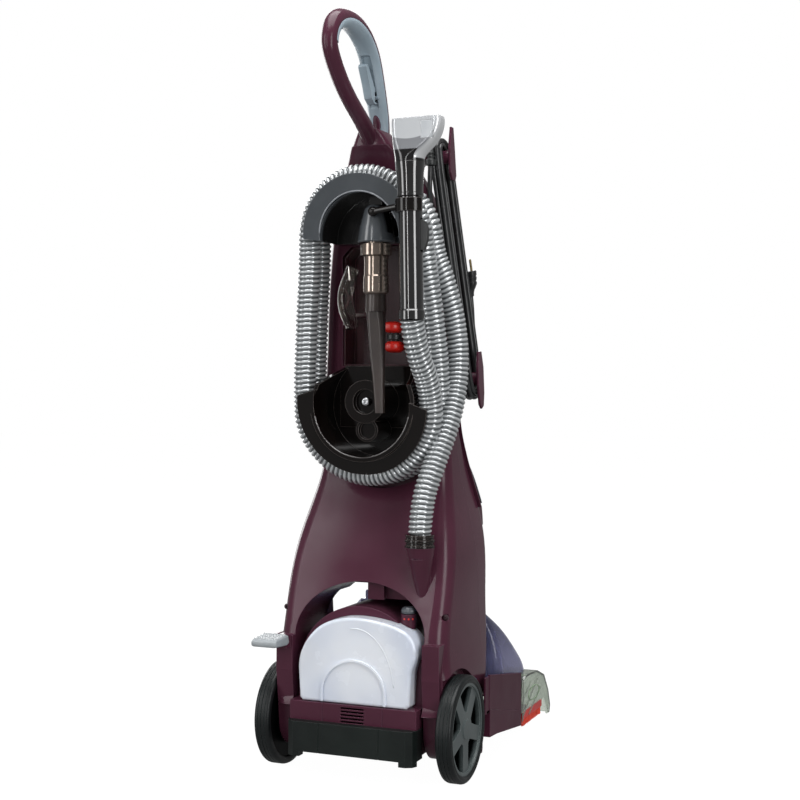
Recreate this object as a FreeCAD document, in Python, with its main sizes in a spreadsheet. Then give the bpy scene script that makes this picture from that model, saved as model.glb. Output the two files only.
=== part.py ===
import FreeCAD, Part
import Sketcher
import math
import os

# Upright carpet cleaner, modelled in millimetres.
# Axes: +Z up, +Y towards the nozzle (front), -Y towards the operator, +X the operator's right.
# Shapes are drawn in a working frame whose origin is the floor point under the rear axle.
# The last step moves every piece by y_shift, so that the origin ends under the middle
# of the machine's box.

V = FreeCAD.Vector
ROT = FreeCAD.Rotation
PL = FreeCAD.Placement
doc = FreeCAD.newDocument("carpet_cleaner")
sheet = doc.addObject("Spreadsheet::Sheet", "Dims")
row = [0]


class Q:
    """A sheet value: a number together with the expression that gives it."""

    def __init__(self, v, e):
        self.v = float(v)
        self.e = e

    def _o(self, o):
        return (o.v, "(" + o.e + ")") if isinstance(o, Q) else (float(o), repr(float(o)))

    def __add__(self, o):
        v, e = self._o(o)
        return Q(self.v + v, self.e + " + " + e)
    __radd__ = __add__

    def __sub__(self, o):
        v, e = self._o(o)
        return Q(self.v - v, self.e + " - " + e)

    def __rsub__(self, o):
        return Q(float(o) - self.v, repr(float(o)) + " - (" + self.e + ")")

    def __mul__(self, o):
        v, e = self._o(o)
        return Q(self.v * v, "(" + self.e + ") * " + e)
    __rmul__ = __mul__

    def __truediv__(self, o):
        v, e = self._o(o)
        return Q(self.v / v, "(" + self.e + ") / " + e)

    def __neg__(self):
        return Q(-self.v, "-(" + self.e + ")")


def D(alias, value):
    row[0] += 1
    n = row[0]
    sheet.set("A%d" % n, alias)
    sheet.set("B%d" % n, str(value))
    sheet.setAlias("B%d" % n, alias)
    return Q(value, "Dims." + alias)


def num(q):
    return q.v if isinstance(q, Q) else float(q)


# ---------------------------------------------------------------- driving sizes
y_shift = D("y_shift", -129.55)
wall = D("wall", 3)
wheel_r = D("wheel_radius", 76)
wheel_x = D("wheel_outer_x", 151)
tire_w = D("tire_width", 22)
tire_in = D("tire_inner_radius", 65)
axle_r = D("axle_radius", 4)
run_gap = D("running_gap", 0.08)
bush_r = D("bush_radius", 12)
leg_in = D("leg_inner_x", 100)
leg_out = D("leg_outer_x", 125.5)
leg_r = D("leg_disc_radius", 45)
arch_w = D("arch_half_width", 100)
arch_z = D("arch_spring_height", 205)
arch_top = D("arch_top_height", 280)
base_w = D("base_half_width", 150)
cover_w = D("cover_half_width", 97)
deck_z = D("deck_height", 100)
tank_out = D("tank_half_width", 92)
brush_len = D("brush_half_length", 122)
brush_core = D("brush_core_radius", 13)
brush_tip = D("brush_tip_radius", 23)
brush_z = D("brush_axis_height", 27)
brush_y1 = D("rear_brush_y", 287)
brush_y2 = D("front_brush_y", 340)
low_r = D("lower_flange_radius", 100)
low_z = D("lower_hook_height", 532)
low_drum = D("lower_drum_radius", 80)
up_r = D("upper_flange_radius", 87)
up_z = D("upper_hook_height", 774)
up_drum = D("upper_drum_radius", 66)
hook_tilt = D("hook_tilt", 8.53)
hose_d = D("hose_diameter", 34)
wand_r = D("wand_radius", 17)
wand_x = D("wand_x", 86)
wand_y = D("wand_y", -76)
wand_lo = D("wand_bottom", 652)
wand_hi = D("wand_top", 872)
crev_x = D("crevice_x", 18)
crev_y = D("crevice_y", -34)
cord_d = D("cord_diameter", 7.0)
neck_r = D("cord_neck_radius", 10)
doc.recompute()

nodes = []
base_y = {}


def setq(obj, prop, q):
    if isinstance(q, Q):
        obj.setExpression(prop, q.e)
    else:
        setattr(obj, prop, float(q))


def put(obj, x=0, y=0, z=0, rot=None):
    obj.Placement = PL(V(num(x), num(y), num(z)), rot or ROT())
    base_y[obj.Name] = y
    for a, q in (("x", x), ("y", y), ("z", z)):
        if isinstance(q, Q):
            obj.setExpression("Placement.Base." + a, q.e)
    return obj


AX = {"X": ROT(V(0, 1, 0), 90), "Y": ROT(V(1, 0, 0), -90), "Z": ROT()}


def box(name, x0, x1, y0, y1, z0, z1):
    o = doc.addObject("Part::Box", name)
    setq(o, "Length", x1 - x0)
    setq(o, "Width", y1 - y0)
    setq(o, "Height", z1 - z0)
    return put(o, x0, y0, z0)


def cyl(name, r, length, x, y, z, axis="Z", rot=None):
    o = doc.addObject("Part::Cylinder", name)
    setq(o, "Radius", r)
    setq(o, "Height", length)
    return put(o, x, y, z, rot or AX[axis])


def cone(name, r1, r2, length, x, y, z, axis="Z"):
    o = doc.addObject("Part::Cone", name)
    setq(o, "Radius1", r1)
    setq(o, "Radius2", r2)
    setq(o, "Height", length)
    return put(o, x, y, z, AX[axis])


def torus(name, r1, r2, x, y, z, axis="Z"):
    o = doc.addObject("Part::Torus", name)
    setq(o, "Radius1", r1)
    setq(o, "Radius2", r2)
    return put(o, x, y, z, AX[axis])


def fuse(name, objs, refine=True):
    if len(objs) == 1:
        return objs[0]
    o = doc.addObject("Part::MultiFuse", name)
    o.Shapes = objs
    o.Refine = refine
    return o


def cut(name, base, *tools):
    o = doc.addObject("Part::Cut", name)
    o.Base = base
    o.Tool = tools[0] if len(tools) == 1 else fuse(name + "_tools", list(tools), False)
    o.Refine = True
    return o


def common(name, a, b):
    o = doc.addObject("Part::MultiCommon", name)
    o.Shapes = [a, b]
    return o


def feat(name, shape):
    o = doc.addObject("Part::Feature", name)
    o.Shape = shape
    return o


def group(name, shapes):
    """Separate solids that share one node."""
    return feat(name, Part.makeCompound(shapes))


def node(obj, label):
    obj.Label = label
    nodes.append(obj)
    return obj


def rounded(name, src, radius, pick):
    """Part::Fillet on the edges that pick() accepts."""
    doc.recompute()
    f = doc.addObject("Part::Fillet", name)
    f.Base = src
    r = num(radius)
    f.Edges = [(i + 1, r, r) for i, e in enumerate(src.Shape.Edges) if pick(e)]
    return f


def plane_of(body, role):
    return [f for f in body.Origin.OriginFeatures if f.Role == role][0]


class Body:
    """A PartDesign body drawn with constrained sketches."""

    def __init__(self, name):
        self.b = doc.addObject("PartDesign::Body", name)
        self.n = name
        self.k = 0

    def sketch(self, role, off, polys=(), circles=()):
        self.k += 1
        s = self.b.newObject("Sketcher::SketchObject", "%s_sk%d" % (self.n, self.k))
        s.AttachmentSupport = [(plane_of(self.b, role), "")]
        s.MapMode = "FlatFace"
        s.AttachmentOffset = PL(V(0, 0, num(off)), ROT())
        if isinstance(off, Q):
            s.setExpression("AttachmentOffset.Base.z", off.e)
        exprs = []
        for pts in polys:
            g0 = s.GeometryCount
            m = len(pts)
            for i in range(m):
                a, c = pts[i], pts[(i + 1) % m]
                s.addGeometry(Part.LineSegment(V(num(a[0]), num(a[1]), 0), V(num(c[0]), num(c[1]), 0)), False)
            for i in range(m):
                s.addConstraint(Sketcher.Constraint("Coincident", g0 + i, 2, g0 + (i + 1) % m, 1))
            for i in range(m):
                for kind, q in (("DistanceX", pts[i][0]), ("DistanceY", pts[i][1])):
                    if isinstance(q, Q):
                        c = s.addConstraint(Sketcher.Constraint(kind, -1, 1, g0 + i, 1, q.v))
                        exprs.append((c, q.e))
        for u, v, r in circles:
            g = s.addGeometry(Part.Circle(V(num(u), num(v), 0), V(0, 0, 1), num(r)), False)
            for kind, q in (("DistanceX", u), ("DistanceY", v)):
                if isinstance(q, Q):
                    c = s.addConstraint(Sketcher.Constraint(kind, -1, 1, g, 3, q.v))
                    exprs.append((c, q.e))
            c = s.addConstraint(Sketcher.Constraint("Radius", g, num(r)))
            if isinstance(r, Q):
                exprs.append((c, r.e))
        for c, e in exprs:
            s.setExpression("Constraints[%d]" % c, e)
        return s

    def pad(self, sk, length, rev=False):
        p = self.b.newObject("PartDesign::Pad", "%s_pad%d" % (self.n, self.k))
        p.Profile = sk
        setq(p, "Length", length)
        p.Reversed = rev
        self.b.Tip = p
        doc.recompute()
        return p

    def pocket(self, sk, length, rev=False):
        before = self.b.Shape.Volume
        p = self.b.newObject("PartDesign::Pocket", "%s_cut%d" % (self.n, self.k))
        p.Profile = sk
        setq(p, "Length", length)
        p.Reversed = rev
        self.b.Tip = p
        doc.recompute()
        assert self.b.Shape.Volume < before - 0.01, self.n + " pocket cut nothing"
        return p

    def turn(self, sk, axis="H_Axis", kind="PartDesign::Revolution"):
        p = self.b.newObject(kind, "%s_rev%d" % (self.n, self.k))
        p.Profile = sk
        p.ReferenceAxis = (sk, [axis])
        p.Angle = 360
        self.b.Tip = p
        doc.recompute()
        return p

    def fillet(self, radius, pick, kind="PartDesign::Fillet"):
        base = self.b.Tip
        names = ["Edge%d" % (i + 1) for i, e in enumerate(base.Shape.Edges) if pick(e)]
        f = self.b.newObject(kind, "%s_fil%d" % (self.n, self.k))
        self.k += 1
        f.Base = (base, names)
        setq(f, "Radius" if kind.endswith("Fillet") else "Size", radius)
        self.b.Tip = f
        doc.recompute()
        return f

    def polar(self, feats, n):
        p = self.b.newObject("PartDesign::PolarPattern", "%s_pol%d" % (self.n, self.k))
        p.Originals = feats
        ax = [f for f in self.b.Origin.OriginFeatures if f.Role == "X_Axis"][0]
        p.Axis = (ax, [""])
        p.Angle = 360
        p.Occurrences = n
        self.b.Tip = p
        doc.recompute()
        return p

    def linear(self, feats, n, length, role="Z_Axis"):
        p = self.b.newObject("PartDesign::LinearPattern", "%s_lin%d" % (self.n, self.k))
        p.Originals = feats
        ax = [f for f in self.b.Origin.OriginFeatures if f.Role == role][0]
        p.Direction = (ax, [""])
        p.Length = length
        p.Occurrences = n
        self.b.Tip = p
        doc.recompute()
        return p


def prism_x(name, pts, x0, x1, holes=(), circles=()):
    """Polygon in (y, z), extruded from x0 to x1."""
    b = Body(name)
    b.pad(b.sketch("YZ_Plane", x0, [pts] + list(holes), circles), x1 - x0)
    return b


def prism_y(name, pts, y0, y1, holes=(), circles=()):
    """Polygon in (x, z), extruded from y0 to y1."""
    b = Body(name)
    b.pad(b.sketch("XZ_Plane", -y1 if isinstance(y1, Q) else -float(y1), [pts] + list(holes), circles), y1 - y0)
    return b


def prism_z(name, pts, z0, z1, holes=(), circles=()):
    b = Body(name)
    b.pad(b.sketch("XY_Plane", z0, [pts] + list(holes), circles), z1 - z0)
    return b


def lathe_x(name, pts):
    """Profile in (x, radius), turned about X."""
    b = Body(name)
    b.turn(b.sketch("XY_Plane", 0, [pts]), "H_Axis")
    return b


def lathe_z(name, pts):
    """Profile in (radius, z), turned about Z."""
    b = Body(name)
    b.turn(b.sketch("XZ_Plane", 0, [pts]), "V_Axis")
    return b


# ---------------------------------------------------------------- free-form helpers
def section(z, w, yr, yf, rc, rf, a, b, af):
    """Closed outline in a level plane: crowned back, sides and front, rounded corners.
    w half width, yr back middle, yf front middle, rc and rf corner radii,
    a, b, af crown angles in degrees of the back, the sides and the front."""
    a, b, af = math.radians(a), math.radians(b), math.radians(af)
    hs = (yf - yr) * 0.5
    for _ in range(60):
        bulge = hs / (2 * math.sin(b)) * (1 - math.cos(b))
        xa = w - bulge - rc * (math.cos(b) - math.sin(a))
        xd = w - bulge - rf * (math.cos(b) - math.sin(af))
        new = (yf - yr) - xa * math.tan(a / 2) - xd * math.tan(af / 2) \
            - rc * (math.cos(a) - math.sin(b)) - rf * (math.cos(af) - math.sin(b))
        hs = 0.5 * hs + 0.5 * new
    assert hs > 1, ("section too shallow", z)
    P = {}
    yA = yr + xa * math.tan(a / 2)
    P["A"] = (xa, yA)
    P["B"] = (xa + rc * (math.cos(b) - math.sin(a)), yA + rc * (math.cos(a) - math.sin(b)))
    m1 = (a + math.pi / 2 - b) / 2
    P["AB"] = (xa + rc * (math.sin(m1) - math.sin(a)), yA + rc * (math.cos(a) - math.cos(m1)))
    P["C"] = (P["B"][0], P["B"][1] + hs)
    P["BC"] = (w, P["B"][1] + hs / 2)
    yC = P["C"][1]
    P["D"] = (xd, yC + rf * (math.cos(af) - math.sin(b)))
    t0, t1 = math.pi / 2 + b, math.pi - af
    m2 = (t0 + t1) / 2
    P["CD"] = (P["C"][0] + rf * (math.sin(m2) - math.sin(t0)), yC + rf * (math.cos(t0) - math.cos(m2)))
    R = lambda k: V(P[k][0], P[k][1], z)
    L = lambda k: V(-P[k][0], P[k][1], z)
    E = [Part.Arc(L("A"), V(0, yr, z), R("A")), Part.Arc(R("A"), R("AB"), R("B")),
         Part.Arc(R("B"), R("BC"), R("C")), Part.Arc(R("C"), R("CD"), R("D")),
         Part.Arc(R("D"), V(0, yf, z), L("D")), Part.Arc(L("D"), L("CD"), L("C")),
         Part.Arc(L("C"), L("BC"), L("B")), Part.Arc(L("B"), L("AB"), L("A"))]
    return Part.Wire([e.toShape() for e in E])


def loft(rows, off=0.0, zlo=None, zhi=None):
    wires = []
    for z, w, yr, yf, rc, rf, a, b, af in rows:
        wires.append(section(z, w - off, yr + off, yf - off, max(rc - off, 2), max(rf - off, 2), a, b, af))
    return Part.makeLoft(wires, True, False)


def tube_path(pts, d, label, factor=0.45):
    """Straight runs joined by tangent arcs through the route's points."""
    P = [V(*p) for p in pts]
    n = len(P)
    radii = []
    edges = []
    start = P[0]
    for i in range(1, n - 1):
        u = (P[i - 1] - P[i])
        w = (P[i + 1] - P[i])
        lu, lw = u.Length, w.Length
        u.normalize()
        w.normalize()
        turn = math.pi - u.getAngle(w)
        short = min(lu, lw)
        r = factor * short / math.tan(turn / 2)
        tl = factor * short
        a = P[i] + u * tl
        c = P[i] + w * tl
        bis = (u + w)
        bis.normalize()
        centre = P[i] + bis * (r / math.cos(turn / 2))
        mid = centre - bis * r
        if (a - start).Length > 1e-6:
            edges.append(Part.LineSegment(start, a).toShape())
        edges.append(Part.Arc(a, mid, c).toShape())
        radii.append(r)
        start = c
    edges.append(Part.LineSegment(start, P[-1]).toShape())
    wire = Part.Wire(edges)
    print(label, "length %.0f" % wire.Length, "least radius %.1f = %.1f d" % (min(radii), min(radii) / d),
          "radii", " ".join("%.0f" % r for r in radii))
    return wire


def tube(pts, d, label):
    wire = tube_path(pts, d, label)
    e0 = wire.Edges[0]
    t = e0.tangentAt(e0.FirstParameter)
    prof = Part.Wire([Part.makeCircle(d / 2.0, V(*pts[0]), t)])
    s = wire.makePipeShell([prof], True, True)
    if s.Volume < 0:
        s = s.reversed()
    want = math.pi * d * d / 4 * wire.Length
    print(label, "volume ratio %.4f" % (s.Volume / want), "valid", s.isValid())
    return s, wire


# ---------------------------------------------------------------- upright shells
# height, half width, back y, front y, corner radii back/front, crown angles back/side/front
UP = [
    (100, 134, -60, 160, 24, 30, 6, 3, 5),
    (175, 133.5, -52, 166, 24, 30, 6, 3, 5),
    (240, 130, -39, 171, 24, 30, 6, 3, 6),
    (320, 127, -13, 175, 24, 30, 6, 3, 7),
    (375, 117, 10, 174, 24, 28, 5, 3, 8),
    (410, 109, 26, 164, 22, 26, 4, 3, 9),
    (445, 103, 38, 147, 20, 24, 3, 3, 10),
    (485, 100, 40, 126, 18, 22, 3, 3, 10),
    (530, 99, 36, 112, 18, 22, 3, 3, 10),
    (610, 96, 33, 107, 18, 22, 4, 3, 10),
    (700, 92, 31, 102, 18, 22, 4, 3, 10),
    (780, 84, 28, 94, 18, 22, 4, 3, 10),
    (835, 73, 22, 84, 18, 20, 5, 3, 10),
    (870, 58, 11, 68, 18, 18, 8, 4, 12),
    (892, 43, -8, 50, 16, 16, 12, 5, 14),
    (906, 32, -22, 38, 14, 14, 14, 6, 14),
]
outer_s = loft(UP)
inner_rows = [r for r in UP if r[0] >= 175]
inner_rows[0] = (180,) + inner_rows[0][1:]
inner_rows[-1] = (902, 30, -19, 36, 14, 14, 14, 6, 14)
inner_s = loft(inner_rows, 3.0)
print("shell", outer_s.isValid(), inner_s.isValid(), outer_s.Volume, inner_s.Volume)
outer = feat("upright_outline", outer_s)
inner = feat("upright_inside", inner_s)


def mirror_x(name, src):
    o = doc.addObject("Part::Mirroring", name)
    o.Source = src
    o.Normal = (1, 0, 0)
    o.Base = (0, 0, 0)
    return o


def loop_wire(circles, add):
    """Belt line round circles given in order (u, v, r), in the YZ plane at x = 0."""
    n = len(circles)
    tan = []
    for i in range(n):
        (u1, v1, r1), (u2, v2, r2) = circles[i], circles[(i + 1) % n]
        r1, r2 = r1 + add, r2 + add
        d = math.hypot(u2 - u1, v2 - v1)
        base = math.atan2(v2 - v1, u2 - u1)
        al = math.acos((r1 - r2) / d)
        t = base - al
        tan.append(((u1 + r1 * math.cos(t), v1 + r1 * math.sin(t)), (u2 + r2 * math.cos(t), v2 + r2 * math.sin(t)), t))
    edges = []
    for i in range(n):
        a, b, t = tan[i]
        edges.append(Part.makeLine(V(0, a[0], a[1]), V(0, b[0], b[1])))
        c, _, t2 = tan[(i + 1) % n]
        u, v, r = circles[(i + 1) % n]
        while t2 < t:
            t2 += 2 * math.pi
        m = (t + t2) / 2
        edges.append(Part.Arc(V(0, b[0], b[1]), V(0, u + (r + add) * math.cos(m), v + (r + add) * math.sin(m)),
                              V(0, c[0], c[1])).toShape())
    return Part.Wire(edges)


def rounded_rect(cx, cy, hx, hy, r, z):
    """Level rounded rectangle made of eight edges."""
    E = []
    P = [(cx + hx, cy + hy, 0), (cx - hx, cy + hy, 90), (cx - hx, cy - hy, 180), (cx + hx, cy - hy, 270)]
    C = [(cx + hx - r, cy + hy - r), (cx - hx + r, cy + hy - r), (cx - hx + r, cy - hy + r), (cx + hx - r, cy - hy + r)]
    pts = []
    for k in range(4):
        a = math.radians(P[k][2])
        for da in (0, 45, 90):
            t = a + math.radians(da)
            pts.append(V(C[k][0] + r * math.cos(t), C[k][1] + r * math.sin(t), z))
    for k in range(4):
        E.append(Part.Arc(pts[3 * k], pts[3 * k + 1], pts[3 * k + 2]).toShape())
        E.append(Part.makeLine(pts[3 * k + 2], pts[(3 * k + 3) % 12]))
    return Part.Wire(E)


def arch(w, zs, top, zlo, y0, y1):
    """Round-headed prism along Y: straight sides up to zs, then half an ellipse up to top."""
    w, zs, top = num(w), num(zs), num(top)
    n = 32
    if w >= top - zs:
        e = Part.Ellipse(V(0, 0, 0), w, top - zs)
        head = Part.ArcOfEllipse(e, 0, math.pi).toShape()
        head.rotate(V(0, 0, 0), V(1, 0, 0), 90)
        head.translate(V(0, 0, zs))
    else:
        head = Part.BSplineCurve()
        head.interpolate([V(w * math.cos(math.pi * k / n), 0, zs + (top - zs) * math.sin(math.pi * k / n))
                          for k in range(n + 1)])
        head = head.toShape()
    wire = Part.Wire([head, Part.makeLine(V(-w, 0, zs), V(-w, 0, zlo)), Part.makeLine(V(-w, 0, zlo), V(w, 0, zlo)),
                      Part.makeLine(V(w, 0, zlo), V(w, 0, zs))])
    f = Part.Face(wire)
    f.translate(V(0, y0, 0))
    return f.extrude(V(0, y1 - y0, 0))


# ---------------------------------------------------------------- rear and front shells
# the doorway between the legs, with its lining
door = feat("doorway", arch(arch_w, arch_z, arch_top, 60, -120, 126))
lining_o = feat("lining_outer", arch(arch_w + 3, arch_z, arch_top + 3, 99, -120, 100))
front_door = box("front_doorway", -126, 126, 100, 260, 60, 250)
side_door = box("leg_hollow_window", -127, 127, 64, 163, 60, 252)
# wall and post of the air duct, hanging in the right half of the doorway
duct_f = common("duct_wall", feat("duct_field", arch(arch_w + 1, arch_z, arch_top + 1, 200, -14, -1)),
                fuse("duct_blocks", [box("duct_plate", 1, 105, -4, -1, 200, 300), box("duct_post", 1, 26, -14, -1, 200, 300)]))
duct_room = cyl("duct_room", 178, 320, -160, 0, wheel_r, "X")
duct = cut("duct_cut", duct_f, duct_room)
wheel_gap_r = cyl("wheel_gap_right", wheel_r + 8, 60, leg_out + 0.6, 0, wheel_r, "X")
wheel_gap_l = cyl("wheel_gap_left", wheel_r + 8, 60, -leg_out - 60.6, 0, wheel_r, "X")
wheel_house = cyl("wheel_house", wheel_r + 11, 320, -160, 0, wheel_r, "X")
# round seat for the hose behind the lower hook
seat0 = cyl("hose_seat_round", low_r + 21, 160, 0, -110, low_z, "Y")
seat = cut("hose_seat", seat0, box("hose_seat_top", -200, 200, -120, 60, 546, 700))
seat_g0 = cyl("hose_seat_wall_round", low_r + 24, 163, 0, -110, low_z, "Y")
seat_g = cut("hose_seat_wall", seat_g0, box("hose_seat_wall_top", -200, 200, -120, 60, 549, 700))
body_out = cut("upright_solid", outer, seat)
body_in = cut("upright_hollow", inner, seat_g, wheel_house)
hollow = cut("upright_tub", body_out, body_in)
lining = common("doorway_lining", body_out, lining_o)
# legs: a disc round the axle and a web up into the body
web = [(-45, 76), (-47, 100), (-54, 150), (-54, 200), (70, 200), (62, 150), (47, 100), (45, 76)]
leg_r_web = prism_x("leg_web_right", web, leg_in, leg_out).b
leg_l_web = prism_x("leg_web_left", web, -leg_out, -leg_in).b
leg_r_disc = cyl("leg_disc_right", leg_r, leg_out - leg_in, leg_in, 0, wheel_r, "X")
leg_l_disc = cyl("leg_disc_left", leg_r, leg_out - leg_in, -leg_out, 0, wheel_r, "X")
leg_hole = cyl("leg_hole", bush_r + run_gap, 300, -150, 0, wheel_r, "X")
well_cut = prism_y("well_opening", [(-63, 590), (63, 590), (63, 752), (48, 767), (-48, 767), (-63, 752)], 0, 60).b
# the port that the hose plugs into
port_s = Part.makeLoft([Part.Wire([Part.makeCircle(6, V(88, -20, 256), V(0, 0, 1))]),
                        Part.Wire([Part.makeCircle(15, V(88, -27, 300), V(0, 0, 1))]),
                        Part.Wire([Part.makeCircle(21, V(88, -33, 334), V(0, 0, 1))])], True, False)
port = feat("hose_port", port_s)
port_bore = cyl("hose_port_bore", 15.5, 34, 88, -33, 318, "Z")
# boss that carries the upper cord hook
boss_u = cyl("cord_boss_upper", 13, 34, 26, 44, 893, "X")
boss_ub = cyl("cord_boss_bore", 6.08, 26, 40, 44, 893, "X")
# pillars for the two corner screws
pillars = common("screw_pillars", body_out, fuse("screw_pillar_pair", [cyl("screw_pillar_r", 7.5, 90, 124, -50, 236, "Y"),
                                                                       cyl("screw_pillar_l", 7.5, 90, -124, -50, 236, "Y")]))
# ears of the foot pedal
ear_a = box("pedal_ear_a", -129, -125, -68, -14, 183, 201)
ear_b = box("pedal_ear_b", -107, -103, -68, -38, 183, 201)
ear_h = cyl("pedal_ear_bore", 3.08, 40, -135, -61.5, 192, "X")
# shelf under the front panel
shelf_o = feat("panel_shelf_outline", loft(UP, -10))
shelf_p = prism_x("panel_shelf_profile", [(100, 378), (240, 378), (240, 373), (170, 348), (100, 348)], -112, 112).b
shelf = cut("panel_shelf", common("panel_shelf_block", shelf_o, shelf_p), inner)
whole = fuse("upright_whole", [hollow, lining, leg_r_web, leg_l_web, leg_r_disc, leg_l_disc, port, boss_u, pillars,
                               cut("pedal_ears", fuse("pedal_ear_pair", [ear_a, ear_b]), inner), shelf])
whole_c = cut("upright_cut", whole, door, front_door, side_door, wheel_gap_r, wheel_gap_l, leg_hole, port_bore, boss_ub, ear_h)
# the two shells meet in a slanting plane through the sides
seam = [(118, 60), (118, 100), (57.6, 810), (57.6, 960), (400, 960), (400, 60)]
front_half = prism_x("front_half", seam, -200, 200).b
rear_shell0 = fuse("rear_shell_duct", [cut("rear_shell_raw", whole_c, front_half), duct])
front_cover0 = common("front_cover_raw", whole_c, front_half)

# ---------------------------------------------------------------- wheels and axle
tw0 = wheel_x - 1 - tire_w
tire = lathe_x("tire_profile", [(tw0, tire_in), (wheel_x - 1, tire_in), (wheel_x, tire_in + 2), (wheel_x, wheel_r - 4),
                                (wheel_x - 1.5, wheel_r - 1.2), (wheel_x - 5, wheel_r), (tw0 + 4, wheel_r),
                                (tw0 + 0.5, wheel_r - 1.2), (tw0 - 1, wheel_r - 4), (tw0 - 1, tire_in + 2)])
put(tire.b, 0, 0, wheel_r)
node(tire.b, "tire_right")
hub = lathe_x("hub_profile", [(tw0 + 2, tire_in - 0.2), (wheel_x - 1.5, tire_in - 0.2), (wheel_x - 1.5, tire_in - 3.8),
                              (wheel_x - 4, tire_in - 4.4), (wheel_x - 4, 15), (wheel_x - 2.4, 13), (wheel_x - 2.4, 0),
                              (wheel_x - 3.4, 0), (wheel_x - 3.4, axle_r + run_gap), (tw0, axle_r + run_gap), (tw0, 14),
                              (tw0 + 2, 15)])
# the room between the five spokes stops at the dished back plate
gp = [(r * math.sin(t), r * math.cos(t)) for r, t in [(24, -0.16), (41, -0.37), (59.4, -0.445), (60, -0.22), (60.2, 0),
                                                      (60, 0.22), (59.4, 0.445), (41, 0.37), (24, 0.16)]]
hub.b.Tip.Refine = True
sk = hub.sketch("YZ_Plane", 133.5, [gp])
pk = hub.pocket(sk, 60, True)
hub.polar([pk], 5)
put(hub.b, 0, 0, wheel_r)
node(hub.b, "hub_right")
node(mirror_x("tire_left_m", tire.b), "tire_left")
node(mirror_x("hub_left_m", hub.b), "hub_left")
axle = cyl("axle_rod", axle_r, 2 * wheel_x - 8, -wheel_x + 4, 0, wheel_r, "X")
node(axle, "rear_axle")


def bush(x0, length):
    a = Part.makeCylinder(bush_r.v, length, V(x0, 0, 76), V(1, 0, 0))
    return a.cut(Part.makeCylinder(axle_r.v + 0.03, length + 2, V(x0 - 1, 0, 76), V(1, 0, 0)))


node(group("bushes", [bush(97.2, 28.6), bush(-125.8, 28.6)]), "pivot_bushes")

# ---------------------------------------------------------------- chassis pan
pan_floor = box("pan_rear_floor", -93.8, 93.8, -62.8, 103, 42, 45)
wall_r = box("pan_rear_wall_right", 90.8, 93.8, -62.8, 94.8, 42, 92)
wall_l = box("pan_rear_wall_left", -93.8, -90.8, -62.8, 94.8, 42, 92)
tray = prism_x("pan_tray", [(100, 42), (134, 40), (257.6, 25), (257.6, 28), (134, 43), (100, 45)], -base_w, base_w).b
side = [(100, 42), (134, 40), (257.6, 25), (257.6, 50.5), (246, 51.7), (100, 82.7)]
side_r = prism_x("pan_side_right", side, base_w - 3, base_w).b
side_l = prism_x("pan_side_left", side, -base_w, -base_w + 3).b
cross_r = box("pan_cross_right", 88, 149, 100, 103, 42, 80)
cross_l = box("pan_cross_left", -149, -88, 100, 103, 42, 80)
boss_r = cyl("pan_boss_right", 16, 9.2, 88, 0, wheel_r, "X")
boss_l = cyl("pan_boss_left", 16, 9.2, -97.2, 0, wheel_r, "X")
arm = [(236, 27), (236, 58), (262, 60), (340, 40), (352, 33), (352, 21), (340, 15), (287, 15), (262, 24)]
arm_r = prism_x("pan_arm_right", arm, 126, 131, (), [(brush_y1, brush_z, 4.06), (brush_y2, brush_z, 4.06)]).b
arm_l = prism_x("pan_arm_left", arm, -131, -126, (), [(brush_y1, brush_z, 4.06), (brush_y2, brush_z, 4.06)]).b
lug = [(122, 8), (138, 8), (140, 14), (140, 41), (120, 41), (120, 14)]
lug_r = prism_x("pan_lug_right", lug, 95, 100.5).b
lug_l = prism_x("pan_lug_left", lug, -100.5, -95).b
lug_ro = prism_x("pan_lug_right_outer", lug, 120, 125.5).b
lug_lo = prism_x("pan_lug_left_outer", lug, -125.5, -120).b
well_r = box("wheel_pocket_right", 100.5, 120, 113, 147, 10, 30)
well_l = box("wheel_pocket_left", -120, -100.5, 113, 147, 10, 30)
stub = cyl("front_stub_bore", 3.06, 320, -160, 130, 14, "X")
axle_hole = cyl("pan_axle_hole", axle_r + 0.03, 320, -160, 0, wheel_r, "X")
motor_seat = cyl("vacuum_motor_seat", 47, 6, 18, 52, 44, "Z")
motor_seat_c = cyl("vacuum_motor_seat_bore", 43.3, 10, 18, 52, 45, "Z")
seat_ring = cut("motor_seat_ring", motor_seat, motor_seat_c)
seat_trim = common("motor_seat_trim", seat_ring, box("seat_box", -92, 92, -60, 94.5, 40, 60))
cradle = box("brush_motor_cradle", -118, -66, 184, 210, 32, 52)
cradle_c = cyl("brush_motor_cradle_bore", 20.2, 70, -122, 197, 64, "X")
cradle_b = cut("brush_motor_cradle_cut", cradle, cradle_c)
pan = fuse("pan_whole", [pan_floor, wall_r, wall_l, tray, side_r, side_l, cross_r, cross_l, boss_r, boss_l, arm_r, arm_l,
                         lug_r, lug_l, lug_ro, lug_lo, seat_trim, cradle_b])
belt_notch = box("pan_belt_notch", -143.6, -131.2, 236, 262, 20, 44)
node(cut("pan_cut", pan, well_r, well_l, stub, axle_hole, belt_notch), "chassis_pan")

# small front wheels, each turned in one piece with its stub axle
fw = lathe_x("front_wheel_profile", [(95.5, 0), (95.5, 3), (102, 3), (102.5, 12), (104.5, 14), (116.5, 14), (118.5, 12),
                                     (119, 3), (124, 3), (124, 0)])
put(fw.b, 0, 130, 14)
node(fw.b, "front_wheel_right")
node(mirror_x("front_wheel_m", fw.b), "front_wheel_left")

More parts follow.
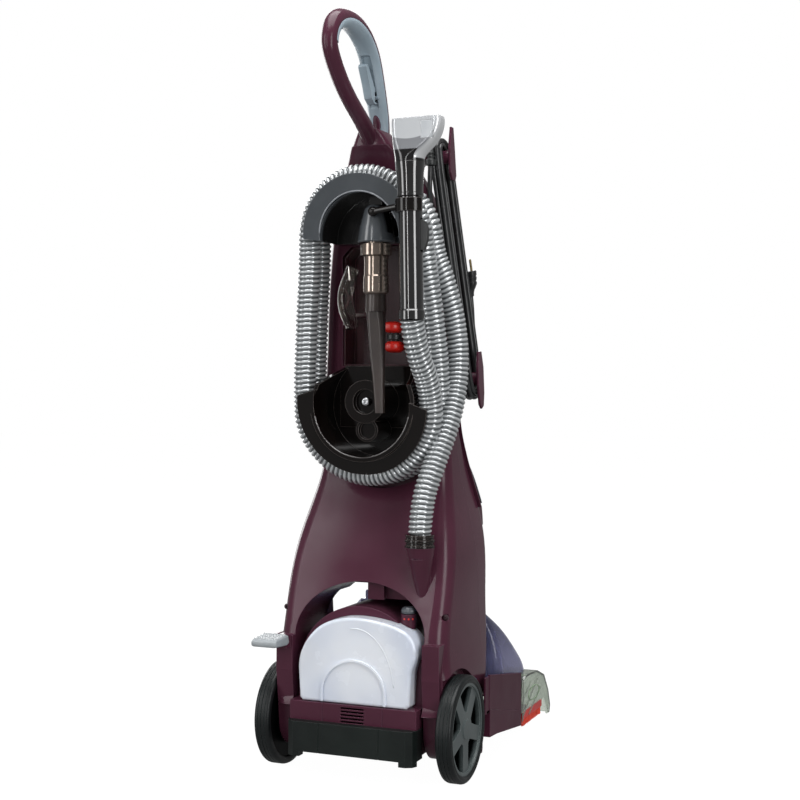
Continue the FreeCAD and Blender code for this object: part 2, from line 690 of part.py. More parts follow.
# ---------------------------------------------------------------- base cover
up_side = [(100, 83), (246, 52), (257.6, 50.8), (257.6, 108), (98, 135), (98, 84)]
cov_r = prism_x("cover_side_right", up_side, base_w - 3, base_w).b
cov_l = prism_x("cover_side_left", up_side, -base_w, -base_w + 3).b
deck = box("cover_deck", -base_w + 1, base_w - 1, 177, 257.6, deck_z - 3, deck_z)
deck_wall = box("cover_wall", -base_w + 1, base_w - 1, 177, 180, 84, deck_z)
lip_r = prism_x("cover_lip_right", [(177, 100), (177, 121.4), (257.6, 107.9), (257.6, 100)], 143, 148).b
lip_l = prism_x("cover_lip_left", [(177, 100), (177, 121.4), (257.6, 107.9), (257.6, 100)], -148, -143).b
node(fuse("cover_whole", [cov_r, cov_l, deck, deck_wall, lip_r, lip_l]), "base_cover")

# ---------------------------------------------------------------- motor cover with the tank bay
hump = feat("hump_outer", arch(96, 150, 246, 46, -38, 98))
hump_in = feat("hump_inner", arch(93, 150, 243, 30, -11, 95))
low = box("low_outer", -cover_w, cover_w, -66, 98, 46, 110)
low_in = box("low_inner", -cover_w + 3, cover_w - 3, -63, 95, 30, 107)


def tank_face(grow, y):
    """Outline of the rear tank in the XZ plane, grown by grow."""
    g = grow
    right = [(84 + g, 114), (85.5 + g, 136), (86.5 + g, 154)]
    s_pts = [V(86.5 + g, y, 154), V(88 + g, y, 165), (V(91.8 + g, y, 176)), V(93.3 + g, y, 188)]
    top_pts = [V(93.3 + g, y, 188), V(91.5 + g, y, 201 + 0.4 * g), V(82 + g * 0.8, y, 214.5 + 0.6 * g),
               V(60 + 0.5 * g, y, 225 + 0.9 * g), V(30 + 0.2 * g, y, 231 + g), V(0, y, 233 + g)]
    m = lambda p: V(-p.x, p.y, p.z)
    E = []
    b0 = 110 - g
    E.append(Part.makeLine(V(-80 - g, y, b0), V(80 + g, y, b0)))
    E.append(Part.makeLine(V(80 + g, y, b0), V(84 + g, y, b0 + 4)))
    E.append(Part.makeLine(V(84 + g, y, b0 + 4), V(86.5 + g, y, 154)))
    sp = Part.BSplineCurve()
    sp.interpolate(s_pts)
    E.append(sp.toShape())
    sp2 = Part.BSplineCurve()
    left = [V(-30 - 0.2 * g, y, 228.5 + g), V(-55 - 0.5 * g, y, 217 + 0.9 * g), V(-74 - 0.8 * g, y, 197 + 0.6 * g),
            V(-83.5 - g, y, 178 + 0.2 * g), V(-86.5 - g, y, 154)]
    sp2.interpolate(top_pts + left)
    E.append(sp2.toShape())
    E.append(Part.makeLine(V(-86.5 - g, y, 154), V(-84 - g, y, b0 + 4)))
    E.append(Part.makeLine(V(-84 - g, y, b0 + 4), V(-80 - g, y, b0)))
    return Part.Face(Part.Wire(E))


bay = feat("tank_bay", tank_face(0.35, -80).extrude(V(0, 66, 0)))
slots = [box("vent_%d" % k, -18, 18, -70, -60, 84.5 + 4.8 * k, 87.1 + 4.8 * k) for k in range(5)]
notch_r = cyl("cover_axle_notch", 16.4, 320, -160, 0, wheel_r, "X")
notch_b = box("cover_axle_slot", -160, 160, -16.4, 16.4, 40, 76)
knob_bore = cyl("knob_bore", 5.06, 40, 69, -26, 215, "Z")
knob_seat = cyl("knob_seat", 11, 20, 69, -26, 218, "Z")
shell0 = cut("motor_cover_solid", fuse("motor_cover_outer", [hump, low]), cut("motor_cover_in_trim",
             fuse("motor_cover_inner", [hump_in, low_in]), box("bay_floor_keep", -100, 100, -63.1, -11, 107, 111)))
shell1 = fuse("motor_cover_knob", [shell0, knob_seat])
seams = [box("cover_seam_%d" % k, x - 0.5, x + 0.5, -68, -65.4, 83, 110) for k, x in enumerate((-46, 46))]
mc = cut("motor_cover_cut", shell1, bay, notch_r, notch_b, knob_bore, *slots, *seams)
node(mc, "motor_cover")
knob = lathe_z("knob_profile", [(0, 224), (5, 224), (5, 238.3), (8, 238.3), (10.5, 239.5), (10.5, 244), (8.5, 247),
                                (5, 248), (0, 248)])
put(knob.b, 69, -26, 0)
node(knob.b, "formula_knob")

# ---------------------------------------------------------------- rear bumper
bp = [(-98.8, -46), (-98.8, -66), (-95, -75), (-86, -80), (86, -80), (95, -75), (98.8, -66), (98.8, -46), (97.3, -46),
      (97.3, -66.2), (-97.3, -66.2), (-97.3, -46)]
bump = prism_z("bumper_wall", bp, 41, 83.6).b
foot_r = prism_z("bumper_foot_right", [(76, -66.2), (76, -79.6), (86, -80), (95, -75), (98.8, -66.2)], 34, 42).b
foot_l = prism_z("bumper_foot_left", [(-76, -66.2), (-98.8, -66.2), (-95, -75), (-86, -80), (-76, -79.6)], 34, 42).b
crease = [box("bumper_crease_%d" % k, x - 0.7, x + 0.7, -82, -78.8, 40, 84) for k, x in enumerate((-46, 46))]
bw = fuse("bumper_whole", [bump, foot_r, foot_l])
bf = cut("bumper_cut", bw, *crease)
node(bf, "rear_bumper")

# ---------------------------------------------------------------- rear (formula) tank
tk = feat("tank_body", tank_face(0, -58).extrude(V(0, 40, 0)))
# the rounded front edge, built in three bands on a 4 mm radius
edge_rings = [(0, -58), (-0.536, -60), (-2, -61.464), (-4, -62)]
bands = [feat("tank_edge_band_%d" % k, Part.makeLoft([tank_face(*edge_rings[k]).OuterWire, tank_face(*edge_rings[k + 1]).OuterWire],
                                                     True, True)) for k in range(3)]
tkr = fuse("tank_soft_edge", [tk] + bands)
rib_o = feat("tank_rib_outer", arch(50, 126, 174, 112, -64.2, -60))
rib_i = feat("tank_rib_inner", arch(46.5, 126, 170.5, 105, -66, -58))
rib = cut("tank_rib", rib_o, rib_i)
tank_hollow = feat("tank_hollow", tank_face(-3, -59).extrude(V(0, 38, 0)))
tank_out_h = cyl("tank_outlet", 5, 20, 0, -40, 100, "Z")
node(cut("tank_shell", fuse("tank_ribbed", [tkr, rib]), tank_hollow, tank_out_h), "formula_tank")

# ---------------------------------------------------------------- vacuum motor, fan, pump
vm = lathe_z("vacuum_motor_profile", [(0, 46), (43, 46), (43, 92), (38, 96), (38, 112), (14, 114), (14, 120), (4.06, 120),
                                      (4.06, 60), (0, 60)])
put(vm.b, 18, 52, 0)
node(vm.b, "vacuum_motor")
fan = lathe_z("fan_profile", [(0, 62), (4, 62), (4, 124), (12, 124), (37, 124), (37, 126), (12, 128), (10, 142), (0, 142)])
put(fan.b, 18, 52, 0)
blades = [prism_x("fan_blade_%d" % k, [(9, 125), (36, 125), (36, 134), (12, 140), (9, 140)], -0.9, 0.9).b for k in range(8)]
for k, bl in enumerate(blades):
    put(bl, 18, 52, 0, ROT(V(0, 0, 1), 45 * k))
node(fuse("fan_whole", [fan.b] + blades), "fan_impeller")
pump_b = box("pump_block", -87, -49, 32, 84, 45, 80)
pump_c = cyl("pump_head", 13, 10, -68, 58, 79.5, "Z")
pump_n = cyl("pump_nozzle", 4, 10, -68, 82, 64, "Y")
node(fuse("pump_whole", [pump_b, pump_c, pump_n]), "pump")

# ---------------------------------------------------------------- brush drive
bm = lathe_x("brush_motor_profile", [(-119, 3.06), (-119, 8), (-115, 8), (-115, 20), (-64, 20), (-60, 14), (-60, 0),
                                     (-108, 0), (-108, 3.06)])
put(bm.b, 0, 197, 64)
node(bm.b, "brush_motor")
mp = lathe_x("motor_pulley_profile", [(-143.5, 0), (-143.5, 11), (-142, 11), (-142, 9), (-132, 9), (-132, 11), (-130.5, 11),
                                      (-130.5, 3), (-108.5, 3), (-108.5, 0)])
put(mp.b, 0, 197, 64)
node(mp.b, "motor_pulley")
ring = [(brush_y2.v, brush_z.v, 8.0), (197.0, 64.0, 9.0), (brush_y1.v, brush_z.v, 8.0)]
bo = Part.Face(loop_wire(ring, 2.2)).extrude(V(9.0, 0, 0))
bi = Part.Face(loop_wire(ring, 0.15)).extrude(V(9.0, 0, 0))
bt = bo.cut(bi)
bt.translate(V(-141.5, 0, 0))
node(feat("belt_loop", bt), "brush_belt")


def roll(name, y, phase):
    r = lathe_x(name, [(-143.5, 0), (-143.5, 10), (-142, 10), (-142, 8), (-132, 8), (-132, 4), (-brush_len - 3, 4),
                       (-brush_len - 3, 9), (-brush_len, brush_core), (brush_len, brush_core), (brush_len + 3, 9),
                       (brush_len + 3, 4), (131, 4), (131, 0)])
    put(r.b, 0, y, brush_z)
    tufts = []
    for k in range(24):
        for side_k in (0, 1):
            a = math.radians(phase + 15.0 * k + 180 * side_k)
            x = -115 + 10 * k
            t = Part.makeCylinder(2.6, 11, V(x, num(y) + 12 * math.cos(a), brush_z.v + 12 * math.sin(a)),
                                  V(0, math.cos(a), math.sin(a)))
            tufts.append(t)
    return fuse(name + "_whole", [r.b, feat(name + "_tufts", Part.makeCompound(tufts))], False)


node(roll("rear_roll", brush_y1, 0), "brush_roll_rear")
node(roll("front_roll", brush_y2, 45), "brush_roll_front")

# ---------------------------------------------------------------- clear nozzle and its edge brushes
nz_o = [(258.2, 52), (262, 92), (282, 98), (300, 99), (348, 96), (388, 82), (414, 52), (426, 24), (422, 12), (408, 12),
        (404, 22), (386, 44), (258.2, 44)]
nz_i = [(250, 40), (250, 89), (283, 95), (300, 96), (347, 93), (386, 79.5), (411.3, 50.5), (422.8, 24), (420.5, 15),
        (420, 5), (250, 5)]
nz = cut("nozzle_shell", prism_x("nozzle_outer", nz_o, -base_w, base_w).b,
         prism_x("nozzle_inner", nz_i, -base_w + 3, base_w - 3).b)
node(nz, "nozzle_cover")
eb = [(272, 19), (374, 19), (376, 43.6), (270, 43.6)]
eb_r = prism_x("edge_brush_right", eb, 144.2, 149.6).b
eb_l = prism_x("edge_brush_left", eb, -149.6, -144.2).b
doc.recompute()
node(group("edge_brush_pair", [eb_r.Shape.copy(), eb_l.Shape.copy()]), "edge_brushes")

# ---------------------------------------------------------------- front tank
FT = [(deck_z.v + 0.3, 141, 181, 352, 16, 40, 1, 2, 16), (125, 140.5, 181, 334, 16, 42, 1, 2, 18),
      (150, 137, 181, 304, 15, 40, 1, 2, 20), (180, 128, 181, 262, 14, 30, 1, 2, 18), (205, 112, 181, 220, 10, 16, 1, 2, 10),
      (222, 96, 181, 204, 6, 8, 1, 2, 4)]
ft_o = loft(FT)
FTi = [(deck_z.v + 3.3,) + FT[0][1:]] + FT[1:5] + [(219, 98, 181, 207, 6, 8, 1, 2, 4)]
ft_i = loft(FTi, 2.6)
print("front tank", ft_o.isValid(), ft_o.Volume, ft_i.isValid(), ft_i.Volume)
ear_x = [(182.5, 210), (193.5, 210), (193.5, 233), (191, 236), (185, 236), (182.5, 233)]
ear_r = prism_x("tank_ear_right", ear_x, 82, 87).b
ear_l = prism_x("tank_ear_left", ear_x, -87, -82).b
pin_r = cyl("tank_pin_right", 3, 8.5, 74, 188, 230, "X")
pin_l = cyl("tank_pin_left", 3, 8.5, -82.5, 188, 230, "X")
fill_neck = cyl("tank_fill_hole", 9, 34, 0, 203, 196, "Z")
fill_boss = cyl("tank_fill_boss", 13, 26, 0, 203, 200, "Z")
ft = cut("front_tank_cut", fuse("front_tank_whole", [cut("front_tank_shell", feat("front_tank_outer", ft_o),
         feat("front_tank_inner", ft_i)), ear_r, ear_l, pin_r, pin_l, fill_boss]), fill_neck)
node(ft, "front_tank")
bail = prism_y("bail", [(-81.6, 225), (-81.6, 244), (-74, 252), (74, 252), (81.6, 244), (81.6, 225), (75, 225), (75, 240),
                        (70, 244), (-70, 244), (-75, 240), (-75, 225)], 184, 192).b
bail_hole = cyl("bail_hole", 3.08, 200, -100, 188, 230, "X")
node(cut("bail_cut", bail, bail_hole), "tank_handle")
bl_s = loft([(deck_z.v + 6, 118, 186, 318, 14, 30, 1, 2, 10), (150, 112, 186, 280, 14, 26, 1, 2, 10),
             (185, 98, 186, 236, 10, 14, 1, 2, 6)])
node(feat("bladder_body", bl_s), "tank_bladder")

# ---------------------------------------------------------------- hose hooks
tilt = ROT(V(1, 0, 0), 90 + hook_tilt.v)


def disc(name, r, z0, z1, org, bind_tilt=True):
    """Cylinder about a hook's own axis, from z0 to z1 along it (0 is the flange's front)."""
    o = doc.addObject("Part::Cylinder", name)
    setq(o, "Radius", r)
    o.Height = z1 - z0
    base = V(*org) + tilt.multVec(V(0, 0, z0))
    o.Placement = PL(base, tilt)
    o.setExpression("Placement.Rotation.Angle", "90 + Dims.hook_tilt")
    return o


lo = (0, -42.65, 532)
uo = (0, -53.55, 774)
# lower hook: flange, drum and back plate, open at the top
lf = disc("low_flange", low_r, -4, 0, lo)
ld = cyl("low_drum", low_drum, 100, 0, -41, 532, "Y")
ld_in = cyl("low_drum_in", low_drum - 6, 88, 0, -61, 532, "Y")
lslope = prism_x("low_top_cut", [(-80, 553), (-44, 560), (60, 600), (60, 700), (-80, 700)], -120, 120).b
low_tip_r = prism_y("low_tip_right", [(66, 540), (120, 520), (120, 640), (66, 640)], -80, -37.5).b
low_tip_l = prism_y("low_tip_left", [(-66, 556), (-66, 640), (-120, 640), (-120, 540)], -80, -37.5).b
plate = prism_y("low_back_plate", [(-62, 500), (62, 500), (62, 574), (54, 590), (-54, 590), (-62, 574)], 26, 56).b
hub_a = cyl("low_hub", 31, 60, 0, -28, 538, "Y")
hub_ac = cyl("low_hub_recess", 18, 12, 0, -30, 538, "Y")
hub_b = cyl("low_hub_small", 17, 60, 2, -24, 497, "Y")
hub_bc = cyl("low_hub_small_recess", 13, 8, 2, -25, 497, "Y")
rib1 = box("low_rib", -4, 4, -18, 30, 505, 515)
screw_hole = cyl("low_screw_hole", 3.2, 80, 0, -20, 538, "Y")
lh0 = cut("low_shell", cut("low_disc", fuse("low_disc_drum", [lf, ld]), ld_in), lslope, low_tip_r, low_tip_l)
lh1 = fuse("low_hook_whole", [lh0, plate, cut("low_hub_cut", hub_a, hub_ac), cut("low_hub_small_cut", hub_b, hub_bc)])
lh2 = common("low_hook_trim", lh1, box("low_hook_room", -110, 110, -80, 50, 425, 590))
lh = cut("low_hook_cut", lh2, body_out, screw_hole)
node(lh, "lower_hose_hook")
# upper hook: flange, half drum open below, and the socket bell
uf = disc("up_flange", up_r, -4, 0, uo)
ud = cyl("up_drum", up_drum, 110, 0, -51, 774, "Y")
uf_in = cyl("up_flange_in", up_drum - 5, 89, 0, -71, 774, "Y")
ucut = prism_y("up_bottom_cut", [(-120, 600), (120, 600), (120, 768), (64, 768), (-64, 768), (-120, 776)], -80, 60).b
uback = prism_y("up_back_plate", [(-62, 768), (62, 768), (62, 800), (40, 836), (-40, 836), (-62, 800)], 8, 60).b
uh0 = cut("up_shell", cut("up_disc", fuse("up_disc_drum", [uf, ud]), uf_in), ucut)
bell = lathe_z("up_bell_profile", [(14.1, 764), (26, 764), (27, 766), (24, 786), (18, 812), (14, 817), (0, 818), (0, 786),
                                   (14.1, 786)])
put(bell.b, crev_x, crev_y + 3, 0)
bell_rib = box("up_bell_rib", 8, 28, -32, 40, 792, 816)
bell_roof = box("up_bell_roof", 8, 28, -34, 10, 812, 840)
uh1 = fuse("up_hook_whole", [uh0, uback, bell.b, bell_rib, common("up_bell_roof_trim", bell_roof, cyl("up_drum_room", up_drum - 1, 110, 0, -51, 774, "Y"))])
stud_hole = doc.addObject("Part::Sphere", "up_ball_hole")
stud_hole.Radius = 7.05
put(stud_hole, 22, -54, 806)
uh = cut("up_hook_cut", uh1, body_out, stud_hole)
node(uh, "upper_hose_hook")


# ---------------------------------------------------------------- rear shell, cover, panel, trim
def skin(name, off0, off1, region):
    """The layer of the upright's surface between two offsets, inside a region."""
    a = feat(name + "_out", loft(UP, -off1))
    b = feat(name + "_in", loft(UP, -off0)) if off0 else outer
    return cut(name + "_skin", common(name + "_region", a, region), b)


pan_reg = prism_y("panel_region", [(-125, 378.2), (125, 378.2), (125, 500), (104, 524), (-104, 524), (-125, 500)], 60, 260).b
pan_side = prism_x("panel_side_cut", [(0, 300), (0, 600), (97, 600), (97, 524), (116, 470), (144, 378), (150, 300)], -200, 200).b
fp0 = cut("panel_blank", skin("panel", 0, 5, pan_reg), pan_side)
rocker_room = box("rocker_room", -15.4, 15.4, 100, 200, 483, 509)
node(cut("panel_cut", fp0, rocker_room), "front_panel")
trim_reg_r = prism_x("trim_region_right", [(150, 384), (168, 384), (156, 430), (150, 448), (138, 448), (142, 420)], 60, 200).b
trim_reg_l = prism_x("trim_region_left", [(150, 384), (168, 384), (156, 430), (150, 448), (138, 448), (142, 420)], -200, -60).b
doc.recompute()
tr = skin("trim_r", 5, 7, trim_reg_r)
tl = skin("trim_l", 5, 7, trim_reg_l)
doc.recompute()
node(group("trim_pair", [tr.Shape.copy(), tl.Shape.copy()]), "front_trim")

# screws through the shell's corners and the hook's hub
pocket_r = cyl("screw_pocket_right", 4.6, 40, 124, -58, 236, "Y")
pocket_l = cyl("screw_pocket_left", 4.6, 40, -124, -58, 236, "Y")
thread_r = cyl("screw_thread_right", 2.05, 70, 124, -20, 236, "Y")
thread_l = cyl("screw_thread_left", 2.05, 70, -124, -20, 236, "Y")
well = cut("well_tub", prism_y("well_outer", [(-62.6, 590.4), (62.6, 590.4), (62.6, 751.8), (47.8, 766.6), (-47.8, 766.6),
                                               (-62.6, 751.8)], 38, 76).b,
           prism_y("well_inner", [(-60.4, 592.6), (60.4, 592.6), (60.4, 751), (47, 764.4), (-47, 764.4), (-60.4, 751)], 30, 73.6).b)
pegs = fuse("well_pegs", [box("well_ledge", -56, -30, 44, 74.5, 664, 669), box("well_ledge_right", 12, 40, 44, 74.5, 628, 632)])
node(fuse("well_whole", [well, pegs]), "tool_well")
low_screw_r = cyl("low_screw_bore", 3.2, 30, 0, 40, 538, "Y")
rs = cut("rear_shell_cut", rear_shell0, well_cut, low_screw_r)


def screw(x, y, z, head, hh, shank, length):
    a = Part.makeCylinder(head, hh, V(x, y, z), V(0, 1, 0))
    b = Part.makeCylinder(shank, length, V(x, y, z), V(0, 1, 0))
    c = Part.makeBox(head * 1.3, 1.2, 1.2, V(x - head * 0.65, y, z - 0.6))
    d = Part.makeBox(1.2, 1.2, head * 1.3, V(x - 0.6, y, z - head * 0.65))
    return a.fuse(b).cut(c).cut(d).removeSplitter()


node(group("screws", [screw(0, -22.5, 538, 6, 4.4, 3.0, 78), screw(124, -22, 236, 4.2, 4, 2, 50),
                      screw(-124, -22, 236, 4.2, 4, 2, 50)]), "shell_screws")

# ---------------------------------------------------------------- handle
LOOP = [(-4, 901), (-14, 914), (-34, 930), (-66, 947), (-106, 970), (-140, 999), (-155, 1025), (-146, 1048), (-112, 1065),
        (-72, 1065), (-42, 1054), (-18, 1034), (-1, 1003), (14, 970), (24, 939), (25, 918), (23, 901)]
SEM = [(12, 9), (12, 12), (11.5, 12.5), (11, 12), (11, 12), (11, 12), (11, 12), (12, 12.5), (13, 13.5), (14, 14.5),
       (14.5, 15), (14.5, 16), (14.5, 16.5), (14, 15.5), (13.5, 14), (13, 12), (12, 10)]


def ell(y, z, ty, tz, ax, an):
    """Ellipse across the limb's direction (ty, tz): ax along X, an in the loop's plane."""
    nrm = V(0, -tz, ty)
    if ax >= an:
        e = Part.Ellipse(V(0, 0, 0), ax, an)
        m = FreeCAD.Matrix(1, 0, 0, 0, 0, nrm.y, ty, y, 0, nrm.z, tz, z, 0, 0, 0, 1)
    else:
        e = Part.Ellipse(V(0, 0, 0), an, ax)
        m = FreeCAD.Matrix(0, -1, 0, 0, nrm.y, 0, ty, y, nrm.z, 0, tz, z, 0, 0, 0, 1)
    w = Part.Wire([e.toShape()])
    return w, m


def limb(pts, sem, shift=0.0):
    """Smooth solid through ellipses; shift moves them towards the inside of the loop."""
    wires = []
    n = len(pts)
    for i, (y, z) in enumerate(pts):
        a = pts[max(i - 1, 0)]
        b = pts[min(i + 1, n - 1)]
        ty, tz = b[0] - a[0], b[1] - a[1]
        L = math.hypot(ty, tz)
        ty, tz = ty / L, tz / L
        ax, an = sem[i]
        ny, nz = tz, -ty
        cy, cz = y - ny * -shift, z - nz * -shift
        loop = []
        for k in range(24):
            t = 2 * math.pi * k / 24
            u, v = ax * math.cos(t), an * math.sin(t)
            loop.append(V(u, cy + v * ny, cz + v * nz))
        sp = Part.BSplineCurve()
        sp.interpolate(loop, PeriodicFlag=True)
        wires.append(Part.Wire([sp.toShape()]))
    return Part.makeLoft(wires, True, False)


handle_s = limb(LOOP, SEM).common(Part.makeBox(200, 400, 300, V(-100, -250, 906.1)))
GRIP = LOOP[6:16]
GSEM = [(11.5, 8), (12.6, 9.5), (13.6, 10.5), (14.6, 11.5), (15.1, 12), (15.1, 13), (15.1, 13.5), (14.6, 12.5), (13.8, 10), (12.6, 6.5)]
grip_s = limb(GRIP, GSEM, 3.6)
print("handle", handle_s.isValid(), handle_s.Volume, grip_s.isValid(), grip_s.Volume)
handle_f = feat("handle_loop", handle_s)
grip_f = feat("grip_form", grip_s)
collar = feat("handle_collar", loft([(906.1, 31, -21, 37, 14, 14, 14, 6, 14), (915, 26, -22, 38, 12, 12, 14, 6, 14),
                                     (928, 17, -28, 39, 10, 10, 14, 6, 14)]))
trig_room = prism_x("trigger_room", [(2, 962), (-40, 962), (-64, 1000), (-64, 1034), (-30, 1030), (-14, 1012), (-4, 990), (2, 975)], -7, 7).b
trig_pin = cyl("trigger_pin_bore", 2.55, 22, -11, -6, 976, "X")
doc.recompute()
solid = handle_f.Shape.fuse(collar.Shape).cut(grip_f.Shape)
solid = solid.cut(trig_room.Shape).cut(trig_pin.Shape)
for label, x0 in (("handle_right", 0.05), ("handle_left", -60.05)):
    half = solid.common(Part.makeBox(60, 320, 260, V(x0, -220, 880)))
    print(label, half.isValid(), len(half.Solids), half.Volume)
    node(feat(label + "_half", half), label)
node(cut("grip_cut", cut("grip_skin", grip_f, collar), trig_room, trig_pin), "grip_inlay")
trg = prism_x("trigger_form", [(-1, 968), (-11, 966), (-22, 972), (-31, 990), (-45, 1013), (-43, 1017), (-38, 1017),
                               (-27, 1006), (-15, 992), (-3, 984), (0, 978)], -6, 6).b
trg_pin = cyl("trigger_pin", 2.5, 20, -10, -6, 976, "X")
trg_slot = box("trigger_spring_room", 1.6, 6.5, -12, 2, 969, 984)
node(fuse("trigger_whole", [cut("trigger_cut", trg, trg_slot), trg_pin]), "spray_trigger")
coil = [Part.makeTorus(3.9, 0.62, V(2.4 + 1.2 * k, -6, 976), V(1, 0, 0)) for k in range(3)]
cc = coil[0].fuse(coil[1:])
node(feat("trigger_coil", cc), "trigger_spring")

# ---------------------------------------------------------------- rocker switch on the panel
rk = prism_x("rocker_form", [(116, 484), (116, 508), (125.5, 508), (129, 497), (134.5, 484)], -15, 15).b
node(rk, "power_rocker")

# ---------------------------------------------------------------- foot pedal
fpd = prism_x("pedal_form", [(-113, 184), (-108, 181), (-72, 186), (-69.5, 188), (-69.5, 203), (-86, 210), (-106, 205),
                             (-113, 199)], -137, -97).b
ped_pin = cyl("pedal_pin", 3, 27.8, -130.9, -61.5, 192, "X")
ped_hub = cyl("pedal_hub", 6.2, 9, -124.4, -61.5, 192, "X")
ped_web = box("pedal_web", -124.4, -115.4, -74, -61.5, 186.5, 197.5)
pdl = fuse("pedal_whole", [fpd, ped_pin, ped_hub, ped_web])
node(pdl, "foot_pedal")
pcoil = [Part.makeTorus(4.4, 0.9, V(-113.5 + 1.7 * k, -61.5, 192), V(1, 0, 0)) for k in range(3)]
node(feat("pedal_coil", pcoil[0].fuse(pcoil[1:])), "pedal_spring")
node(cut("rear_shell_final", rs, pocket_r, pocket_l, thread_r, thread_l), "rear_shell")
node(cut("front_cover_final", front_cover0, rocker_room), "front_cover")

# ---------------------------------------------------------------- wand, its head and its clip
w_lo = V(90, -74, 652)
w_dir = V(85.5, -76, 903) - w_lo
w_dir.normalize()
w_rot = ROT(V(0, 0, 1), w_dir)


def on_wand(obj):
    obj.Placement = PL(w_lo, w_rot)
    base_y[obj.Name] = w_lo.y
    return obj


wt = lathe_z("wand_profile", [(14, 0), (wand_r + 1.2, 0), (wand_r + 1.2, 12), (wand_r - 0.4, 14), (wand_r - 0.4, 146),
                              (wand_r - 0.1, 168), (wand_r + 1.4, 169.5), (wand_r + 1.4, 173), (wand_r + 1, 174),
                              (wand_r + 2, 200), (wand_r + 4, 216), (14, 216)])
lever_slot = box("wand_lever_slot", 12, 26, -4.2, 4.2, 92, 139)
node(on_wand(cut("wand_cut", wt.b, lever_slot)), "wand_tube")
hd_o = Part.makeLoft([rounded_rect(0, 0, 20.8, 20.8, 20.7, 216.1), rounded_rect(1, 0, 22, 20, 18, 226),
                      rounded_rect(6, 1, 28.5, 17.5, 13, 238), rounded_rect(10.5, 1, 33.5, 15.5, 9, 252),
                      rounded_rect(12.5, 1, 36, 14.5, 8, 268), rounded_rect(12.5, 1, 35.5, 14, 8, 276)], True, False)
hd_f = feat("head_form", hd_o)
win_o = box("window_room", 22, 39, -20, -9.5, 246, 270)
doc.recompute()
hd = cut("head_cut", hd_f, win_o)
node(on_wand(hd), "tool_head")
win = common("window_form", feat("window_outline", hd_o), box("window_block", 22.2, 38.8, -20, -9.7, 246.2, 269.8))
node(on_wand(win), "tool_window")
lev = prism_y("lever_form", [(14.2, 96), (20, 94), (25, 108), (26, 124), (22, 134), (17, 137), (14.2, 134)], -3.9, 3.9).b
lev_pin = cyl("lever_pin", 1.5, 7.8, 17.4, -3.9, 134, "Y")
node(on_wand(lev), "spray_lever")

# clip: ball, arm and an open ring round the wand
arm_p0, arm_p1 = V(22, -54, 806), V(68.5, -62, 811)
ad = arm_p1 - arm_p0
arm_l = ad.Length
arm_k = math.sqrt(49 - 4.6 * 4.6)
arm_e = [Part.Arc(V(0, 0, -7), V(7, 0, 0), V(4.6, 0, arm_k)).toShape(), Part.makeLine(V(4.6, 0, arm_k), V(4.6, 0, arm_l)),
         Part.makeLine(V(4.6, 0, arm_l), V(0, 0, arm_l)), Part.makeLine(V(0, 0, arm_l), V(0, 0, -7))]
arm_s = Part.Face(Part.Wire(arm_e)).revolve(V(0, 0, 0), V(0, 0, 1), 360)
ad.normalize()
arm_s.Placement = PL(arm_p0, ROT(V(0, 0, 1), ad))
cl_z = 148.0
ring_s = Part.makeCylinder(21.4, 18, V(0, 0, cl_z), V(0, 0, 1)).cut(Part.makeCylinder(17.3, 20, V(0, 0, cl_z - 1), V(0, 0, 1)))
wedge = Part.makePolygon([V(0, 0, 0), V(60, -34, 0), V(60, 60, 0), V(-14, 60, 0), V(0, 0, 0)])
wedge_s = Part.Face(wedge).extrude(V(0, 0, 40))
wedge_s.translate(V(2, 2, cl_z - 5))
ring_s = ring_s.cut(wedge_s)
ring_s.Placement = PL(w_lo, w_rot)
tube_room = Part.makeCylinder(17.3, 60, V(0, 0, cl_z - 20), V(0, 0, 1))
tube_room.Placement = PL(w_lo, w_rot)
doc.recompute()
clip = arm_s.fuse(ring_s).cut(tube_room).cut(uh.Shape)
assert clip.Volume > 7000
node(feat("clip_form", clip), "wand_clip")

# ---------------------------------------------------------------- attachments stored in the well
cr = lathe_z("crevice_socket", [(0, 666), (15, 666), (15, 671), (14.4, 690), (17, 692), (18.5, 694), (18.5, 716), (17.4, 718),
                                (17.4, 744), (22.5, 746), (22.5, 762), (13.7, 762), (13.7, 780), (0, 780)])
put(cr.b, crev_x, crev_y + 3, 0)
bl0 = [rounded_rect(18, -31, 13, 11, 8, 669), rounded_rect(20, -32.5, 12, 8, 5, 640), rounded_rect(24, -34.4, 8.5, 5.4, 4, 570),
       rounded_rect(26.5, -34.6, 6.5, 4.8, 3, 522)]
bl = Part.makeLoft(bl0, True, False)
node(fuse("crevice_whole", [cr.b, feat("crevice_blade", bl)]), "crevice_tool")
cv_pts = [(-42, 22, 735), (-50, 22, 712), (-54, 22, 690), (-50, 22, 668), (-42, 22, 646)]
cv_wires = []
for k, (x, y, z) in enumerate(cv_pts):
    a = cv_pts[max(k - 1, 0)]
    b = cv_pts[min(k + 1, 4)]
    t = V(b[0] - a[0], 0, b[2] - a[2])
    t.normalize()
    side_v = V(t.z, 0, -t.x)
    rx, ry = [(9, 9), (10.5, 11), (11, 13), (11, 14), (8, 15)][k]
    pts = [V(x, y, z) + side_v * (rx * math.cos(u)) + V(0, 1, 0) * (ry * math.sin(u)) for u in
           [2 * math.pi * q / 20 for q in range(20)]]
    sp = Part.BSplineCurve()
    sp.interpolate(pts, PeriodicFlag=True)
    cv_wires.append(Part.Wire([sp.toShape()]))
cv = Part.makeLoft(cv_wires, True, False)
cv_in = Part.makeCylinder(6, 22, V(-42, 22, 716), V(0, 0, 1))
cvh = cut("curved_cut", feat("curved_form", cv), feat("curved_bore", cv_in))
node(cvh, "curved_tool")
sb1 = box("brush_block", 12, 38, 6, 42, 633, 640)
sb2 = rounded("brush_block_soft", box("brush_head", 12, 38, 2, 40, 640, 655), 3, lambda e: e.BoundBox.ZLength > 10)
